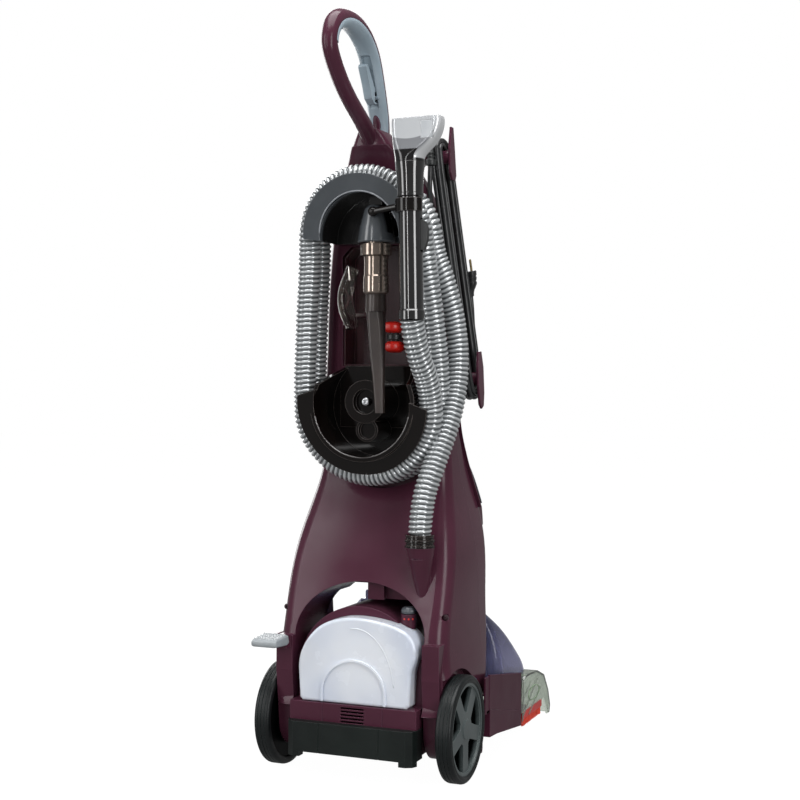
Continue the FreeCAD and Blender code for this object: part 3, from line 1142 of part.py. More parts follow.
sb3 = cyl("brush_stem", 6.5, 16, 25, 22, 618, "Z")
sb4 = box("brush_lower", 13, 38, 4, 40, 609, 627)
doc.recompute()
sb4r = rounded("brush_lower_soft", sb4, 3, lambda e: e.BoundBox.ZLength > 10)
node(fuse("brush_whole", [sb1, sb2, sb3, sb4r]), "stain_brush")

# ---------------------------------------------------------------- hose
oy = lambda z: (-20 - 0.148 * (z - 532)) if z < 650 else (-31 - 0.15 * (z - 774))
iy = lambda z: (15 - 0.15 * (z - 532)) if z < 650 else (4.2 - 0.15 * (z - 774))
c8 = math.tan(math.pi / 8)
rl, ru, zl, zu = 99.2, 84.8, 532.0, 774.0


def top(yf, side_in=1):
    q = []
    for a in (22.5, 67.5, 112.5, 157.5):
        z = zu + ru / math.cos(math.pi / 8) * math.sin(math.radians(a))
        q.append((ru / math.cos(math.pi / 8) * math.cos(math.radians(a)), yf(z), z))
    return q


def bottom(yf):
    q = []
    for a in (202.5, 247.5, 292.5, 337.5):
        z = zl + rl / math.cos(math.pi / 8) * math.sin(math.radians(a))
        q.append((rl / math.cos(math.pi / 8) * math.cos(math.radians(a)), yf(z), z))
    return q


HOSE = [(88, -33, 352), (90, -32.5, 398), (104, -18, 452), (117, 8, 512), (120, 33, 576), (116, 34, 646), (103, 20, 712)]
HOSE += [(90, 9, 752)] + top(iy)
HOSE += [(-89, 7.5, 735), (-93.5, 10.5, 672), (-97, 13.5, 606), (-98.8, 16, 560)]
HOSE += bottom(iy)
HOSE += [(99.8, 8, 562), (98.5, -1, 620), (94.5, -12, 678), (89, -22.5, 735)]
HOSE += top(oy)
HOSE += [(-88.5, -27.5, 735), (-93.5, -24, 672), (-97, -21.5, 606), (-98.8, -20.5, 560)]
HOSE += bottom(oy)
HOSE += [(98.6, -24.5, 560), (91, -62, 611), (90, -74, 651.9)]
hose_s, hose_w = tube(HOSE, hose_d.v, "hose")
doc.recompute()
cf = lathe_z("cuff_profile", [(0, 322), (15.3, 322), (15.3, 334.1), (21.5, 334.1), (21.5, 337), (20, 338), (20, 341), (21.5, 342),
                              (21.5, 345), (20, 346), (20, 349), (21, 350), (20.4, 352), (0, 352)])
put(cf.b, 88, -33, 0)
node(cf.b, "hose_cuff")
doc.recompute()
wand_s = wt.b.Shape.copy()
wand_s.Placement = PL(w_lo, w_rot)
hose_s = hose_s.cut(wand_s).cut(cf.b.Shape)
node(feat("hose_run", hose_s), "vac_hose")

# ---------------------------------------------------------------- cord hooks, cord and plug
cu_n = lathe_x("upper_hook_neck", [(45, 0), (45, 6), (60.3, 6), (60.3, neck_r), (102, neck_r), (102, 0)])
put(cu_n.b, 0, 44, 893)
cu_p = prism_x("upper_hook_plate", [(38, 936), (46, 936), (53, 905), (60, 868), (56, 860), (44, 860), (36, 870), (32, 905)], 102, 106).b
node(fuse("upper_cord_hook", [cu_n.b, rounded("upper_hook_plate_soft", cu_p, 1.2, lambda e: e.BoundBox.XLength < 0.01)]),
     "cord_hook_upper")
cl_n = cyl("lower_hook_neck", neck_r, 52, 78, 98, 572, "X")
cl_f = cyl("lower_hook_foot", 14, 22, 78, 98, 572, "X")
cl_p = prism_x("lower_hook_plate", [(84, 612), (97, 613), (107, 590), (112, 552), (110, 532), (102, 528), (94, 534), (86, 560),
                                    (82, 590)], 130, 134).b
cl0 = fuse("lower_cord_hook", [cl_n, cl_f, rounded("lower_hook_plate_soft", cl_p, 1.2, lambda e: e.BoundBox.XLength < 0.01)])
node(cut("lower_cord_hook_cut", cl0, outer), "cord_hook_lower")

hank_a, hank_b = V(87, 44, 893), V(116.5, 98, 572)
hv = hank_b - hank_a
hank_len = hv.Length
hv.normalize()
hn = V(1, 0, 0) - hv * hv.x
hn.normalize()
hu = hn.cross(hv)


def hank_pt(a, b, c):
    """a along the hank from its upper centre, b across it, c through it."""
    return hank_a + hv * a + hu * b + hn * c


def stadium(r, c):
    A0, A1 = hank_pt(0, r, c), hank_pt(hank_len, r, c)
    B0, B1 = hank_pt(0, -r, c), hank_pt(hank_len, -r, c)
    top_m, bot_m = hank_pt(-r, 0, c), hank_pt(hank_len + r, 0, c)
    return Part.Wire([Part.makeLine(A0, A1), Part.Arc(A1, bot_m, B1).toShape(), Part.makeLine(B1, B0),
                      Part.Arc(B0, top_m, A0).toShape()])


hank = Part.Face(stadium(31, -10.5)).extrude(hn * 21).cut(Part.Face(stadium(11.8, -12)).extrude(hn * 24))
node(feat("hank_body", hank), "cord_hank")
CORD_A = [hank_pt(*q) for q in ((10, -42.4, -1.9), (30, -44.6, -4.4), (54, -40.5, -7), (74, -31, -7))]
print("cord starts at", CORD_A[0])
ca_s, ca_w = tube([tuple(q) for q in CORD_A], cord_d.v, "cord from boot")
boot_s, boot_w = tube([(38, 4, 897), (86, 4, 897), (86, 4, 879.9)], 13, "boot")
boot = boot_s.fuse([Part.makeCylinder(8.2, 5, V(55, 4, 897), V(1, 0, 0)), Part.makeCylinder(8.6, 7, V(86, 4, 883), V(0, 0, -1))])
doc.recompute()
boot = boot.cut(outer_s).cut(ca_s)
node(feat("boot_form", boot), "strain_relief")
CORD_B = [hank_pt(*q) for q in ((285, 27.4, 3.5), (250, 31, 3.5), (225, 38.5, 3.5), (208, 40.2, 3.5))]
cb_s, cb_w = tube([tuple(q) for q in CORD_B], cord_d.v, "cord to plug")
node(feat("cord_from_boot", ca_s.cut(hank)), "cord_tube")


plug_at = PL(hank_pt(208, 40.2, 3.5), ROT(hn, hu, hv * -1, "ZXY"))


def on_plug(f):
    """Put a shape drawn about the plug's own axis into its stored place."""
    g = f.copy()
    g.Placement = plug_at.multiply(g.Placement)
    return g


pg_b = on_plug(Part.makeLoft([rounded_rect(0, 0, 5, 5, 4.5, 0), rounded_rect(0, 0, 7, 7, 4.5, 10),
                              rounded_rect(0, 0, 11, 8, 4.5, 18), rounded_rect(0, 0, 12.5, 8.5, 4.5, 38)], True, False))
prong = [on_plug(Part.makeBox(1.6, 6.4, 20, V(dx - 0.8, -3.2, 36))) for dx in (-6.3, 6.3)]
node(feat("cord_to_plug", cb_s.cut(hank).cut(pg_b)), "cord_tail")
node(feat("plug_form", pg_b.fuse(prong)), "mains_plug")

# ---------------------------------------------------------------- final places, checks and files
doc.recompute()
for o in nodes:
    if o.TypeId == "Part::Mirroring":
        continue
    y = base_y.get(o.Name, 0)
    off = y.e if isinstance(y, Q) else repr(float(y))
    pl = o.Placement
    pl.Base = V(pl.Base.x, pl.Base.y + y_shift.v, pl.Base.z)
    o.Placement = pl
    o.setExpression("Placement.Base.y", "Dims.y_shift + " + off)
doc.recompute()
for o in doc.Objects:
    if "Invalid" in o.State or "Error" in o.State:
        raise RuntimeError("bad object " + o.Name + " " + str(o.State))
os.makedirs("parts", exist_ok=True)
for o in nodes:
    sh = o.Shape
    assert sh.isValid() and all(q.Volume > 1 for q in sh.Solids), o.Label
    assert len(o.Label) < 60
    sh.exportStep("parts/" + o.Label + ".step")
print(len(nodes), "pieces written")
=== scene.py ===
# Upright carpet cleaner: the looks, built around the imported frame. Metres, same frame as the CAD.
import bpy
import math
import random
from mathutils import Matrix, Vector


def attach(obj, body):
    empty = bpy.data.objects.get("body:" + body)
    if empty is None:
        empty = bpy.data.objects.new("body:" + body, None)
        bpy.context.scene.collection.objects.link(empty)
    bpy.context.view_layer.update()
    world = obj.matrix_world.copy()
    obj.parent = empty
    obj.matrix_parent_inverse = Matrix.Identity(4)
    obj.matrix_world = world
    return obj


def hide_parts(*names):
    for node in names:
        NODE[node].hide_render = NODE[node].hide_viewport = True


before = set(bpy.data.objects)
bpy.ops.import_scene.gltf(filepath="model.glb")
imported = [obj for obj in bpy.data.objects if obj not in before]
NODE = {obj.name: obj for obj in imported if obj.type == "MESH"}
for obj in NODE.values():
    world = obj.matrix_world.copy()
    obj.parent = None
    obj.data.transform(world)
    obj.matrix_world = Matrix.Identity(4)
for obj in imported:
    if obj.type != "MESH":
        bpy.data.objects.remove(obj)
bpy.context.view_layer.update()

YS = 129.55


def P(x, y, z):
    """A point of the working frame (mm, origin under the rear axle) in the row frame (m)."""
    return Vector((x / 1000.0, (y - YS) / 1000.0, z / 1000.0))


def rgb(r, g, b):
    """sRGB 0-255 to linear."""
    f = lambda c: c / 12.92 if c <= 0.04045 else ((c + 0.055) / 1.055) ** 2.4
    return (f(r / 255.0), f(g / 255.0), f(b / 255.0), 1.0)


# ------------------------------------------------------------------ materials
def new_mat(name):
    m = bpy.data.materials.new(name)
    m.use_nodes = True
    nt = m.node_tree
    nt.nodes.clear()
    out = nt.nodes.new("ShaderNodeOutputMaterial")
    b = nt.nodes.new("ShaderNodeBsdfPrincipled")
    nt.links.new(b.outputs[0], out.inputs[0])
    return m, nt, b


def noise(nt, scale, detail=3.0, rough=0.5, stretch=None, kind="Object"):
    tc = nt.nodes.new("ShaderNodeTexCoord")
    n = nt.nodes.new("ShaderNodeTexNoise")
    n.inputs["Scale"].default_value = scale
    n.inputs["Detail"].default_value = detail
    n.inputs["Roughness"].default_value = rough
    if stretch:
        mp = nt.nodes.new("ShaderNodeMapping")
        mp.inputs["Scale"].default_value = stretch
        nt.links.new(tc.outputs[kind], mp.inputs["Vector"])
        nt.links.new(mp.outputs["Vector"], n.inputs["Vector"])
    else:
        nt.links.new(tc.outputs[kind], n.inputs["Vector"])
    return n.outputs["Fac"]


def remap(nt, value, a, b, c, d, smooth=False):
    m = nt.nodes.new("ShaderNodeMapRange")
    m.interpolation_type = "SMOOTHSTEP" if smooth else "LINEAR"
    m.inputs["From Min"].default_value = a
    m.inputs["From Max"].default_value = b
    m.inputs["To Min"].default_value = c
    m.inputs["To Max"].default_value = d
    nt.links.new(value, m.inputs["Value"])
    return m.outputs["Result"]


def mixc(nt, fac, a, b):
    m = nt.nodes.new("ShaderNodeMix")
    m.data_type = "RGBA"
    for i, v in ((6, a), (7, b)):
        if isinstance(v, tuple):
            m.inputs[i].default_value = v
        else:
            nt.links.new(v, m.inputs[i])
    if isinstance(fac, float):
        m.inputs[0].default_value = fac
    else:
        nt.links.new(fac, m.inputs[0])
    return m.outputs[2]


def math_node(nt, op, a, b=None):
    m = nt.nodes.new("ShaderNodeMath")
    m.operation = op
    for i, v in enumerate((a, b)):
        if v is None:
            continue
        if isinstance(v, (int, float)):
            m.inputs[i].default_value = v
        else:
            nt.links.new(v, m.inputs[i])
    return m.outputs[0]


def bump(nt, height, strength, distance, under=None):
    b = nt.nodes.new("ShaderNodeBump")
    b.inputs["Strength"].default_value = strength
    b.inputs["Distance"].default_value = distance
    nt.links.new(height, b.inputs["Height"])
    if under is not None:
        nt.links.new(under, b.inputs["Normal"])
    return b.outputs["Normal"]


def axis_value(nt, axis):
    tc = nt.nodes.new("ShaderNodeTexCoord")
    s = nt.nodes.new("ShaderNodeSeparateXYZ")
    nt.links.new(tc.outputs["Object"], s.inputs[0])
    return s.outputs[axis]


def surface(name, col, col2=None, scale=14.0, rough=(0.28, 0.36), rough_scale=40.0, grain=(0.08, 0.0003, 1400.0),
            edge=0.0008, edge_wear_and_highlight=None, coat=0.0, coat_rough=0.05, metallic=0.0, trans=0.0, ior=1.5, sss=0.0, spec=0.5,
            stretch=None):
    """A moulded surface: colour drift, uneven gloss, fine grain, softened edges, and edges lightened towards a given
    colour, partly as wear and partly as a painted highlight.
    """
    m, nt, b = new_mat(name)
    L = nt.links.new
    col2 = col2 or tuple(min(1.0, c * 1.25 + 0.002) for c in col[:3]) + (1.0,)
    base = mixc(nt, remap(nt, noise(nt, scale, 4.0, 0.55, stretch), 0.35, 0.65, 0.0, 1.0), col, col2)
    under = None
    if edge:
        bev = nt.nodes.new("ShaderNodeBevel")
        bev.samples = 4
        bev.inputs["Radius"].default_value = edge
        under = bev.outputs["Normal"]
        # edges lightened towards the given colour: partly wear, partly a painted highlight along the edges
        if edge_wear_and_highlight:
            g = nt.nodes.new("ShaderNodeNewGeometry")
            d = nt.nodes.new("ShaderNodeVectorMath")
            d.operation = "DOT_PRODUCT"
            L(bev.outputs["Normal"], d.inputs[0])
            L(g.outputs["Normal"], d.inputs[1])
            k = remap(nt, d.outputs["Value"], 0.995, 0.88, 0.0, edge_wear_and_highlight[1])
            base = mixc(nt, k, base, edge_wear_and_highlight[0])
    L(base, b.inputs["Base Color"])
    L(remap(nt, noise(nt, rough_scale, 3.0), 0.3, 0.7, rough[0], rough[1]), b.inputs["Roughness"])
    L(bump(nt, noise(nt, grain[2], 2.0), grain[0], grain[1], under), b.inputs["Normal"])
    b.inputs["Metallic"].default_value = metallic
    b.inputs["IOR"].default_value = ior
    b.inputs["Specular IOR Level"].default_value = spec
    b.inputs["Coat Weight"].default_value = coat
    b.inputs["Coat Roughness"].default_value = coat_rough
    b.inputs["Transmission Weight"].default_value = trans
    if sss:
        b.inputs["Subsurface Weight"].default_value = sss
        b.inputs["Subsurface Radius"].default_value = (0.008, 0.008, 0.010)
        b.inputs["Subsurface Scale"].default_value = 1.0
    if coat and under is not None:
        L(under, b.inputs["Coat Normal"])
    return m


def attr_mix(nt, name, a, b, lo=0.0, hi=1.0):
    at = nt.nodes.new("ShaderNodeAttribute")
    at.attribute_name = name
    return mixc(nt, remap(nt, at.outputs["Fac"], lo, hi, 0.0, 1.0), a, b)


MAT = {}
MAT["maroon"] = surface("maroon_plastic", rgb(69, 34, 48), rgb(76, 39, 54), 9.0, (0.17, 0.24), 25.0, (0.05, 0.0002, 1600.0),
                        0.0012, (rgb(128, 88, 108), 0.4), coat=0.0, coat_rough=0.05, spec=0.24)
MAT["screw_dark"] = surface("screw_dark", rgb(40, 15, 25), rgb(50, 20, 32), 40.0, (0.3, 0.4), 60.0, (0.06, 0.0002, 1200.0),
                            0.0004, (rgb(104, 66, 84), 0.3), metallic=0.2)
# the tool well is painted a darker maroon than the shell: painted shade in the recess
MAT["maroon_well_shade"] = surface("maroon_recess", rgb(44, 10, 18), rgb(54, 14, 24), 9.0, (0.2, 0.28), 25.0,
                             (0.05, 0.0002, 1600.0), 0.001, (rgb(110, 60, 76), 0.3), coat=0.3)
MAT["black_gloss"] = surface("black_gloss_plastic", rgb(8, 5, 4), rgb(13, 8, 7), 12.0, (0.10, 0.16), 30.0,
                             (0.04, 0.0002, 1500.0), 0.0014, (rgb(130, 120, 116), 0.4), coat=0.15, coat_rough=0.03, spec=0.3)
MAT["wand_black"] = surface("wand_black_plastic", rgb(9, 9, 10), rgb(13, 13, 14), 12.0, (0.07, 0.11), 30.0,
                            (0.02, 0.0001, 1500.0), 0.0008, None, coat=1.0, coat_rough=0.02, ior=1.6)
MAT["hook_gray"] = surface("hook_gray_plastic", rgb(62, 66, 71), rgb(72, 77, 82), 12.0, (0.2, 0.28), 30.0,
                           (0.05, 0.0002, 1500.0), 0.0016, (rgb(150, 155, 160), 0.5), coat=0.3)
m = surface("hose_hook_plastic", rgb(64, 68, 72), rgb(74, 78, 82), 12.0, (0.14, 0.22), 30.0,
            (0.05, 0.0002, 1500.0), 0.0016, (rgb(150, 155, 160), 0.5), coat=0.35)
nt = m.node_tree
b = [n for n in nt.nodes if n.type == "BSDF_PRINCIPLED"][0]
was = b.inputs["Base Color"].links[0].from_socket
hx, hy, hz = axis_value(nt, 0), axis_value(nt, 1), axis_value(nt, 2)
# the hook's hollow inside, behind its front band and outside the bell cap, is painted near-black: painted shade in the
# cavity
behind = remap(nt, hy, -0.176, -0.171, 0.0, 1.0)
bell = math_node(nt, "MULTIPLY", remap(nt, hx, -0.0135, -0.0125, 0.0, 1.0), remap(nt, hz, 0.776, 0.778, 1.0, 0.0))
cavity_shade = math_node(nt, "MULTIPLY", behind, math_node(nt, "SUBTRACT", 1.0, bell))
nt.links.new(mixc(nt, cavity_shade, was, rgb(9, 8, 9)), b.inputs["Base Color"])
MAT["hook_band"] = m
# the upper hook's rim lip is painted light grey: a painted highlight along the inner rim
MAT["hook_lip"] = surface("hook_rim_highlight_plastic", rgb(120, 124, 130), rgb(140, 144, 150), 30.0, (0.08, 0.12), 50.0,
                          (0.03, 0.0001, 900.0), 0.0, None, coat=0.8, coat_rough=0.03)
MAT["dark_lip"] = surface("dark_lip_plastic", rgb(30, 24, 22), rgb(40, 32, 30), 30.0, (0.06, 0.1), 50.0,
                          (0.03, 0.0001, 900.0), 0.0, None, coat=1.0, coat_rough=0.02, ior=2.0)
MAT["maroon_matte"] = surface("maroon_side_plastic", rgb(66, 30, 45), rgb(73, 35, 51), 9.0, (0.3, 0.38), 25.0,
                              (0.06, 0.0002, 1400.0), 0.0012, (rgb(128, 88, 108), 0.4), spec=0.1)
MAT["black_satin"] = surface("black_satin_plastic", rgb(27, 29, 29), rgb(36, 38, 38), 20.0, (0.36, 0.46), 50.0,
                             (0.12, 0.0003, 1100.0), 0.001, (rgb(90, 94, 94), 0.35))
MAT["bumper"] = surface("bumper_plastic", rgb(18, 23, 22), rgb(25, 31, 29), 16.0, (0.33, 0.43), 40.0,
                        (0.15, 0.0003, 900.0), 0.001, (rgb(80, 92, 88), 0.35), spec=0.25)
MAT["tire"] = surface("tire_rubber", rgb(13, 17, 18), rgb(20, 24, 25), 24.0, (0.34, 0.46), 60.0,
                      (0.2, 0.0003, 1200.0), 0.0008, (rgb(80, 94, 92), 0.3), spec=0.32)
m = surface("hub_plastic", rgb(66, 74, 75), rgb(80, 88, 88), 20.0, (0.28, 0.38), 40.0, (0.1, 0.0003, 1100.0),
            0.0012, (rgb(140, 150, 148), 0.4), spec=0.35)
nt = m.node_tree
b = [n for n in nt.nodes if n.type == "BSDF_PRINCIPLED"][0]
was = b.inputs["Base Color"].links[0].from_socket
# the hub's inboard part, seen behind the spokes, is painted near-black with almost no specular: painted shade in the
# recess
hub_inboard_shade = remap(nt, math_node(nt, "ABSOLUTE", axis_value(nt, 0)), 0.1400, 0.1440, 0.0, 1.0)
nt.links.new(mixc(nt, hub_inboard_shade, rgb(5, 7, 7), was), b.inputs["Base Color"])
nt.links.new(remap(nt, hub_inboard_shade, 0.0, 1.0, 0.05, 0.35), b.inputs["Specular IOR Level"])
MAT["hub"] = m
MAT["grip"] = surface("grip_soft_plastic", rgb(138, 154, 164), rgb(150, 165, 175), 20.0, (0.38, 0.5), 60.0,
                      (0.3, 0.0003, 1000.0), 0.001, (rgb(190, 200, 206), 0.35))
MAT["pedal"] = surface("pedal_plastic", rgb(140, 146, 150), rgb(158, 163, 166), 30.0, (0.34, 0.46), 60.0,
                       (0.2, 0.0003, 900.0), 0.001, (rgb(214, 216, 218), 0.5))
MAT["head"] = surface("tool_head_plastic", rgb(150, 152, 156), rgb(166, 168, 171), 20.0, (0.2, 0.28), 40.0,
                      (0.06, 0.0002, 1200.0), 0.0014, (rgb(232, 233, 235), 0.5), coat=0.3, metallic=0.25)
nt = MAT["head"].node_tree
b = [n for n in nt.nodes if n.type == "BSDF_PRINCIPLED"][0]
was = b.inputs["Base Color"].links[0].from_socket
hx = axis_value(nt, 0)
hz = axis_value(nt, 2)
# faces turned towards +X keep the silver further down the head: a painted highlight on that side
gn = nt.nodes.new("ShaderNodeNewGeometry")
sp_ = nt.nodes.new("ShaderNodeSeparateXYZ")
nt.links.new(gn.outputs["Normal"], sp_.inputs[0])
highlight_side_drop = remap(nt, sp_.outputs[0], 0.35, 0.6, 0.0, 0.012)
zc = remap(nt, math_node(nt, "ADD", hz, highlight_side_drop), 0.8835, 0.8850, 0.0, 1.0)
arc = math_node(nt, "MULTIPLY", math_node(nt, "POWER", math_node(nt, "ABSOLUTE", math_node(nt, "SUBTRACT", hx, 0.088)), 2.0), 7.0)
lens = remap(nt, math_node(nt, "SUBTRACT", hz, arc), 0.8982, 0.8992, 0.0, 1.0)
silver = mixc(nt, lens, rgb(124, 126, 130), rgb(196, 199, 202))
# faces turned towards +X are painted near-white silver: a painted highlight
silver = mixc(nt, remap(nt, sp_.outputs[0], 0.35, 0.6, 0.0, 1.0), silver, rgb(214, 216, 218))
nt.links.new(mixc(nt, zc, rgb(13, 12, 13), mixc(nt, 0.15, silver, was)), b.inputs["Base Color"])
nt.links.new(remap(nt, zc, 0.0, 1.0, 0.0, 0.25), b.inputs["Metallic"])
nt.links.new(remap(nt, zc, 0.0, 1.0, 0.09, 0.2), b.inputs["Roughness"])
MAT["head_lens"] = surface("tool_head_lens", rgb(176, 180, 184), rgb(190, 193, 196), 30.0, (0.08, 0.14), 50.0,
                           (0.04, 0.0002, 400.0), 0.0006, (rgb(236, 238, 240), 0.5), coat=0.5)
MAT["steel"] = surface("bright_steel", rgb(178, 180, 184), rgb(200, 202, 205), 60.0, (0.2, 0.32), 90.0,
                       (0.1, 0.0002, 900.0), 0.0004, None, metallic=1.0)
MAT["brass"] = surface("plug_brass", rgb(190, 164, 104), rgb(206, 182, 126), 60.0, (0.2, 0.3), 90.0,
                       (0.08, 0.0002, 900.0), 0.0003, None, metallic=1.0)
MAT["pedal_light"] = surface("pedal_rib_plastic", rgb(170, 175, 178), rgb(188, 192, 194), 30.0, (0.3, 0.42), 60.0,
                             (0.2, 0.0003, 900.0), 0.0004, (rgb(230, 231, 232), 0.5))
MAT["red"] = surface("brush_red_plastic", rgb(196, 28, 22), rgb(212, 40, 30), 30.0, (0.26, 0.36), 60.0,
                     (0.1, 0.0002, 1000.0), 0.0008, (rgb(240, 120, 104), 0.4))
MAT["bristle_red"] = surface("bristle_red", rgb(214, 52, 34), rgb(236, 84, 58), 300.0, (0.4, 0.5), 200.0,
                             (0.2, 0.0002, 1500.0), 0.0, None)
MAT["bristle_dark"] = surface("bristle_dark", rgb(40, 40, 44), rgb(70, 70, 74), 300.0, (0.4, 0.5), 200.0,
                              (0.2, 0.0002, 1500.0), 0.0, None)
MAT["bristle_white"] = surface("bristle_white", rgb(214, 212, 206), rgb(236, 234, 228), 300.0, (0.4, 0.5), 200.0,
                               (0.2, 0.0002, 1500.0), 0.0, None)
MAT["cord"] = surface("cord_sheath", rgb(36, 37, 38), rgb(46, 47, 48), 40.0, (0.2, 0.28), 60.0, (0.15, 0.0002, 1300.0),
                      0.0, None)
MAT["plug"] = surface("plug_body", rgb(22, 22, 24), rgb(30, 30, 32), 40.0, (0.34, 0.44), 60.0, (0.15, 0.0002, 1300.0),
                      0.0008, (rgb(80, 80, 84), 0.3))
MAT["bladder"] = surface("bladder_film", rgb(190, 196, 208), rgb(206, 210, 220), 30.0, (0.2, 0.3), 50.0,
                         (0.3, 0.0006, 120.0), 0.0, None, sss=0.2)
MAT["clear"] = surface("clear_plastic", rgb(236, 232, 224), rgb(244, 242, 236), 30.0, (0.03, 0.07), 50.0,
                       (0.05, 0.0003, 200.0), 0.0, None, trans=1.0, ior=1.3)
MAT["nozzle"] = surface("nozzle_clear_plastic", rgb(180, 188, 178), rgb(198, 205, 195), 20.0, (0.05, 0.1), 40.0,
                        (0.05, 0.0003, 200.0), 0.0, None, trans=0.94, ior=1.42)
MAT["nozzle_ring"] = surface("nozzle_ring_plastic", rgb(112, 140, 104), rgb(134, 160, 124), 40.0, (0.2, 0.3), 60.0,
                             (0.06, 0.0002, 400.0), 0.0, None, coat=0.3)
MAT["nozzle_rib"] = surface("nozzle_rib_plastic", rgb(104, 112, 102), rgb(132, 140, 128), 40.0, (0.2, 0.3), 60.0,
                            (0.06, 0.0002, 400.0), 0.0004, (rgb(190, 196, 188), 0.5), coat=0.3)

# the front tank: blue-gray upper part, paler towards the bottom
m = surface("smoke_tint_plastic", rgb(150, 156, 186), rgb(160, 166, 194), 20.0, (0.05, 0.1), 40.0,
            (0.04, 0.0003, 200.0), 0.0, None, trans=0.82, ior=1.35)
nt = m.node_tree
b = [n for n in nt.nodes if n.type == "BSDF_PRINCIPLED"][0]
zt = remap(nt, axis_value(nt, 2), 0.125, 0.215, 0.0, 1.0, True)
drift = remap(nt, noise(nt, 18.0, 3.0), 0.35, 0.65, 0.0, 0.25)
lo_c = mixc(nt, drift, rgb(150, 150, 178), rgb(164, 164, 188))
hi_c = mixc(nt, drift, rgb(92, 92, 118), rgb(108, 108, 132))
nt.links.new(mixc(nt, zt, lo_c, hi_c), b.inputs["Base Color"])
MAT["tint"] = m

# the crevice tool: bright bronze socket above, dark blade below
m, nt, b = new_mat("crevice_tool_plastic")
zk = remap(nt, axis_value(nt, 2), 0.6900, 0.6945, 0.0, 1.0)
nz = remap(nt, noise(nt, 30.0, 3.0), 0.3, 0.7, 0.0, 1.0)
blade = mixc(nt, nz, rgb(46, 39, 37), rgb(60, 51, 48))
socket = mixc(nt, nz, rgb(132, 119, 110), rgb(154, 141, 131))
nt.links.new(mixc(nt, zk, blade, socket), b.inputs["Base Color"])
nt.links.new(remap(nt, zk, 0.0, 1.0, 0.3, 0.13), b.inputs["Roughness"])
nt.links.new(remap(nt, zk, 0.0, 1.0, 0.1, 0.85), b.inputs["Metallic"])
bev = nt.nodes.new("ShaderNodeBevel"); bev.samples = 4; bev.inputs["Radius"].default_value = 0.0008
nt.links.new(bump(nt, noise(nt, 1200.0, 2.0), 0.06, 0.0002, bev.outputs["Normal"]), b.inputs["Normal"])
MAT["crevice"] = m

# the hose: light grey plastic on the ridges, the grooves painted dark grey as painted shade in the creases
m, nt, b = new_mat("hose_plastic")
ridge = attr_mix(nt, "ridge", rgb(78, 82, 84), rgb(196, 199, 201), 0.15, 0.8)
nt.links.new(mixc(nt, remap(nt, noise(nt, 60.0, 3.0), 0.3, 0.7, 0.0, 0.25), ridge, rgb(160, 164, 166)), b.inputs["Base Color"])
nt.links.new(remap(nt, noise(nt, 200.0, 3.0), 0.3, 0.7, 0.12, 0.2), b.inputs["Roughness"])
nt.links.new(bump(nt, noise(nt, 700.0, 2.0), 0.08, 0.0002), b.inputs["Normal"])
b.inputs["Metallic"].default_value = 0.4
b.inputs["Coat Weight"].default_value = 0.4
b.inputs["Coat Roughness"].default_value = 0.05
MAT["hose"] = m

# the rear tank: milky translucent plastic, whiter where the wall is thick
m, nt, b = new_mat("milky_tank_plastic")
cloud = remap(nt, noise(nt, 9.0, 2.0, 0.4), 0.35, 0.65, 0.0, 1.0, True)
inner_c = mixc(nt, cloud, rgb(206, 214, 231), rgb(230, 236, 247))
nt.links.new(attr_mix(nt, "thick", inner_c, rgb(246, 249, 253), 0.0, 1.0), b.inputs["Base Color"])
nt.links.new(remap(nt, noise(nt, 40.0, 3.0), 0.3, 0.7, 0.2, 0.3), b.inputs["Roughness"])
nt.links.new(bump(nt, noise(nt, 500.0, 2.0), 0.08, 0.0003), b.inputs["Normal"])
b.inputs["Subsurface Weight"].default_value = 0.35
b.inputs["Subsurface Radius"].default_value = (0.010, 0.011, 0.013)
b.inputs["Subsurface Scale"].default_value = 1.0
b.inputs["Coat Weight"].default_value = 0.35
b.inputs["Coat Roughness"].default_value = 0.08
MAT["milky"] = m
MAT["milky_rim"] = surface("milky_rib_plastic", rgb(232, 238, 247), rgb(242, 246, 252), 30.0, (0.2, 0.3), 50.0,
                           (0.06, 0.0002, 500.0), 0.0, None, coat=0.3, sss=0.2)

USE = {
    "maroon": "rear_shell motor_cover handle_left handle_right front_cover front_panel cord_hook_upper cord_hook_lower",
    "maroon_well_shade": "tool_well",
    "black_gloss": "lower_hose_hook wand_clip hose_cuff",
    "wand_black": "wand_tube",
    "hook_gray": "formula_knob front_trim tank_handle",
    "hook_band": "upper_hose_hook",
    "maroon_matte": "base_cover chassis_pan",
    "black_satin": "spray_lever front_wheel_left front_wheel_right pump "
                   "motor_pulley fan_impeller vacuum_motor brush_motor pivot_bushes power_rocker strain_relief brush_belt",
    "bumper": "rear_bumper",
    "tire": "tire_left tire_right",
    "hub": "hub_left hub_right",
    "grip": "grip_inlay spray_trigger",
    "pedal": "foot_pedal",
    "head": "tool_head",
    "steel": "rear_axle shell_screws pedal_spring trigger_spring",
    "red": "stain_brush edge_brushes brush_roll_rear brush_roll_front",
    "clear": "curved_tool",
    "head_lens": "tool_window",
    "nozzle": "nozzle_cover",
    "tint": "front_tank",
    "bladder": "tank_bladder",
    "crevice": "crevice_tool",
    "plug": "mains_plug",
    "cord": "cord_tube cord_hank cord_tail",
    "milky": "formula_tank",
    "hose": "vac_hose",
}
painted = set()
for key, names in USE.items():
    for n in names.split():
        o = NODE[n]
        painted.add(n)
        if not o.material_slots:
            o.data.materials.append(MAT[key])
        for s in o.material_slots:
            s.material = MAT[key]
assert painted == set(NODE), set(NODE) ^ painted


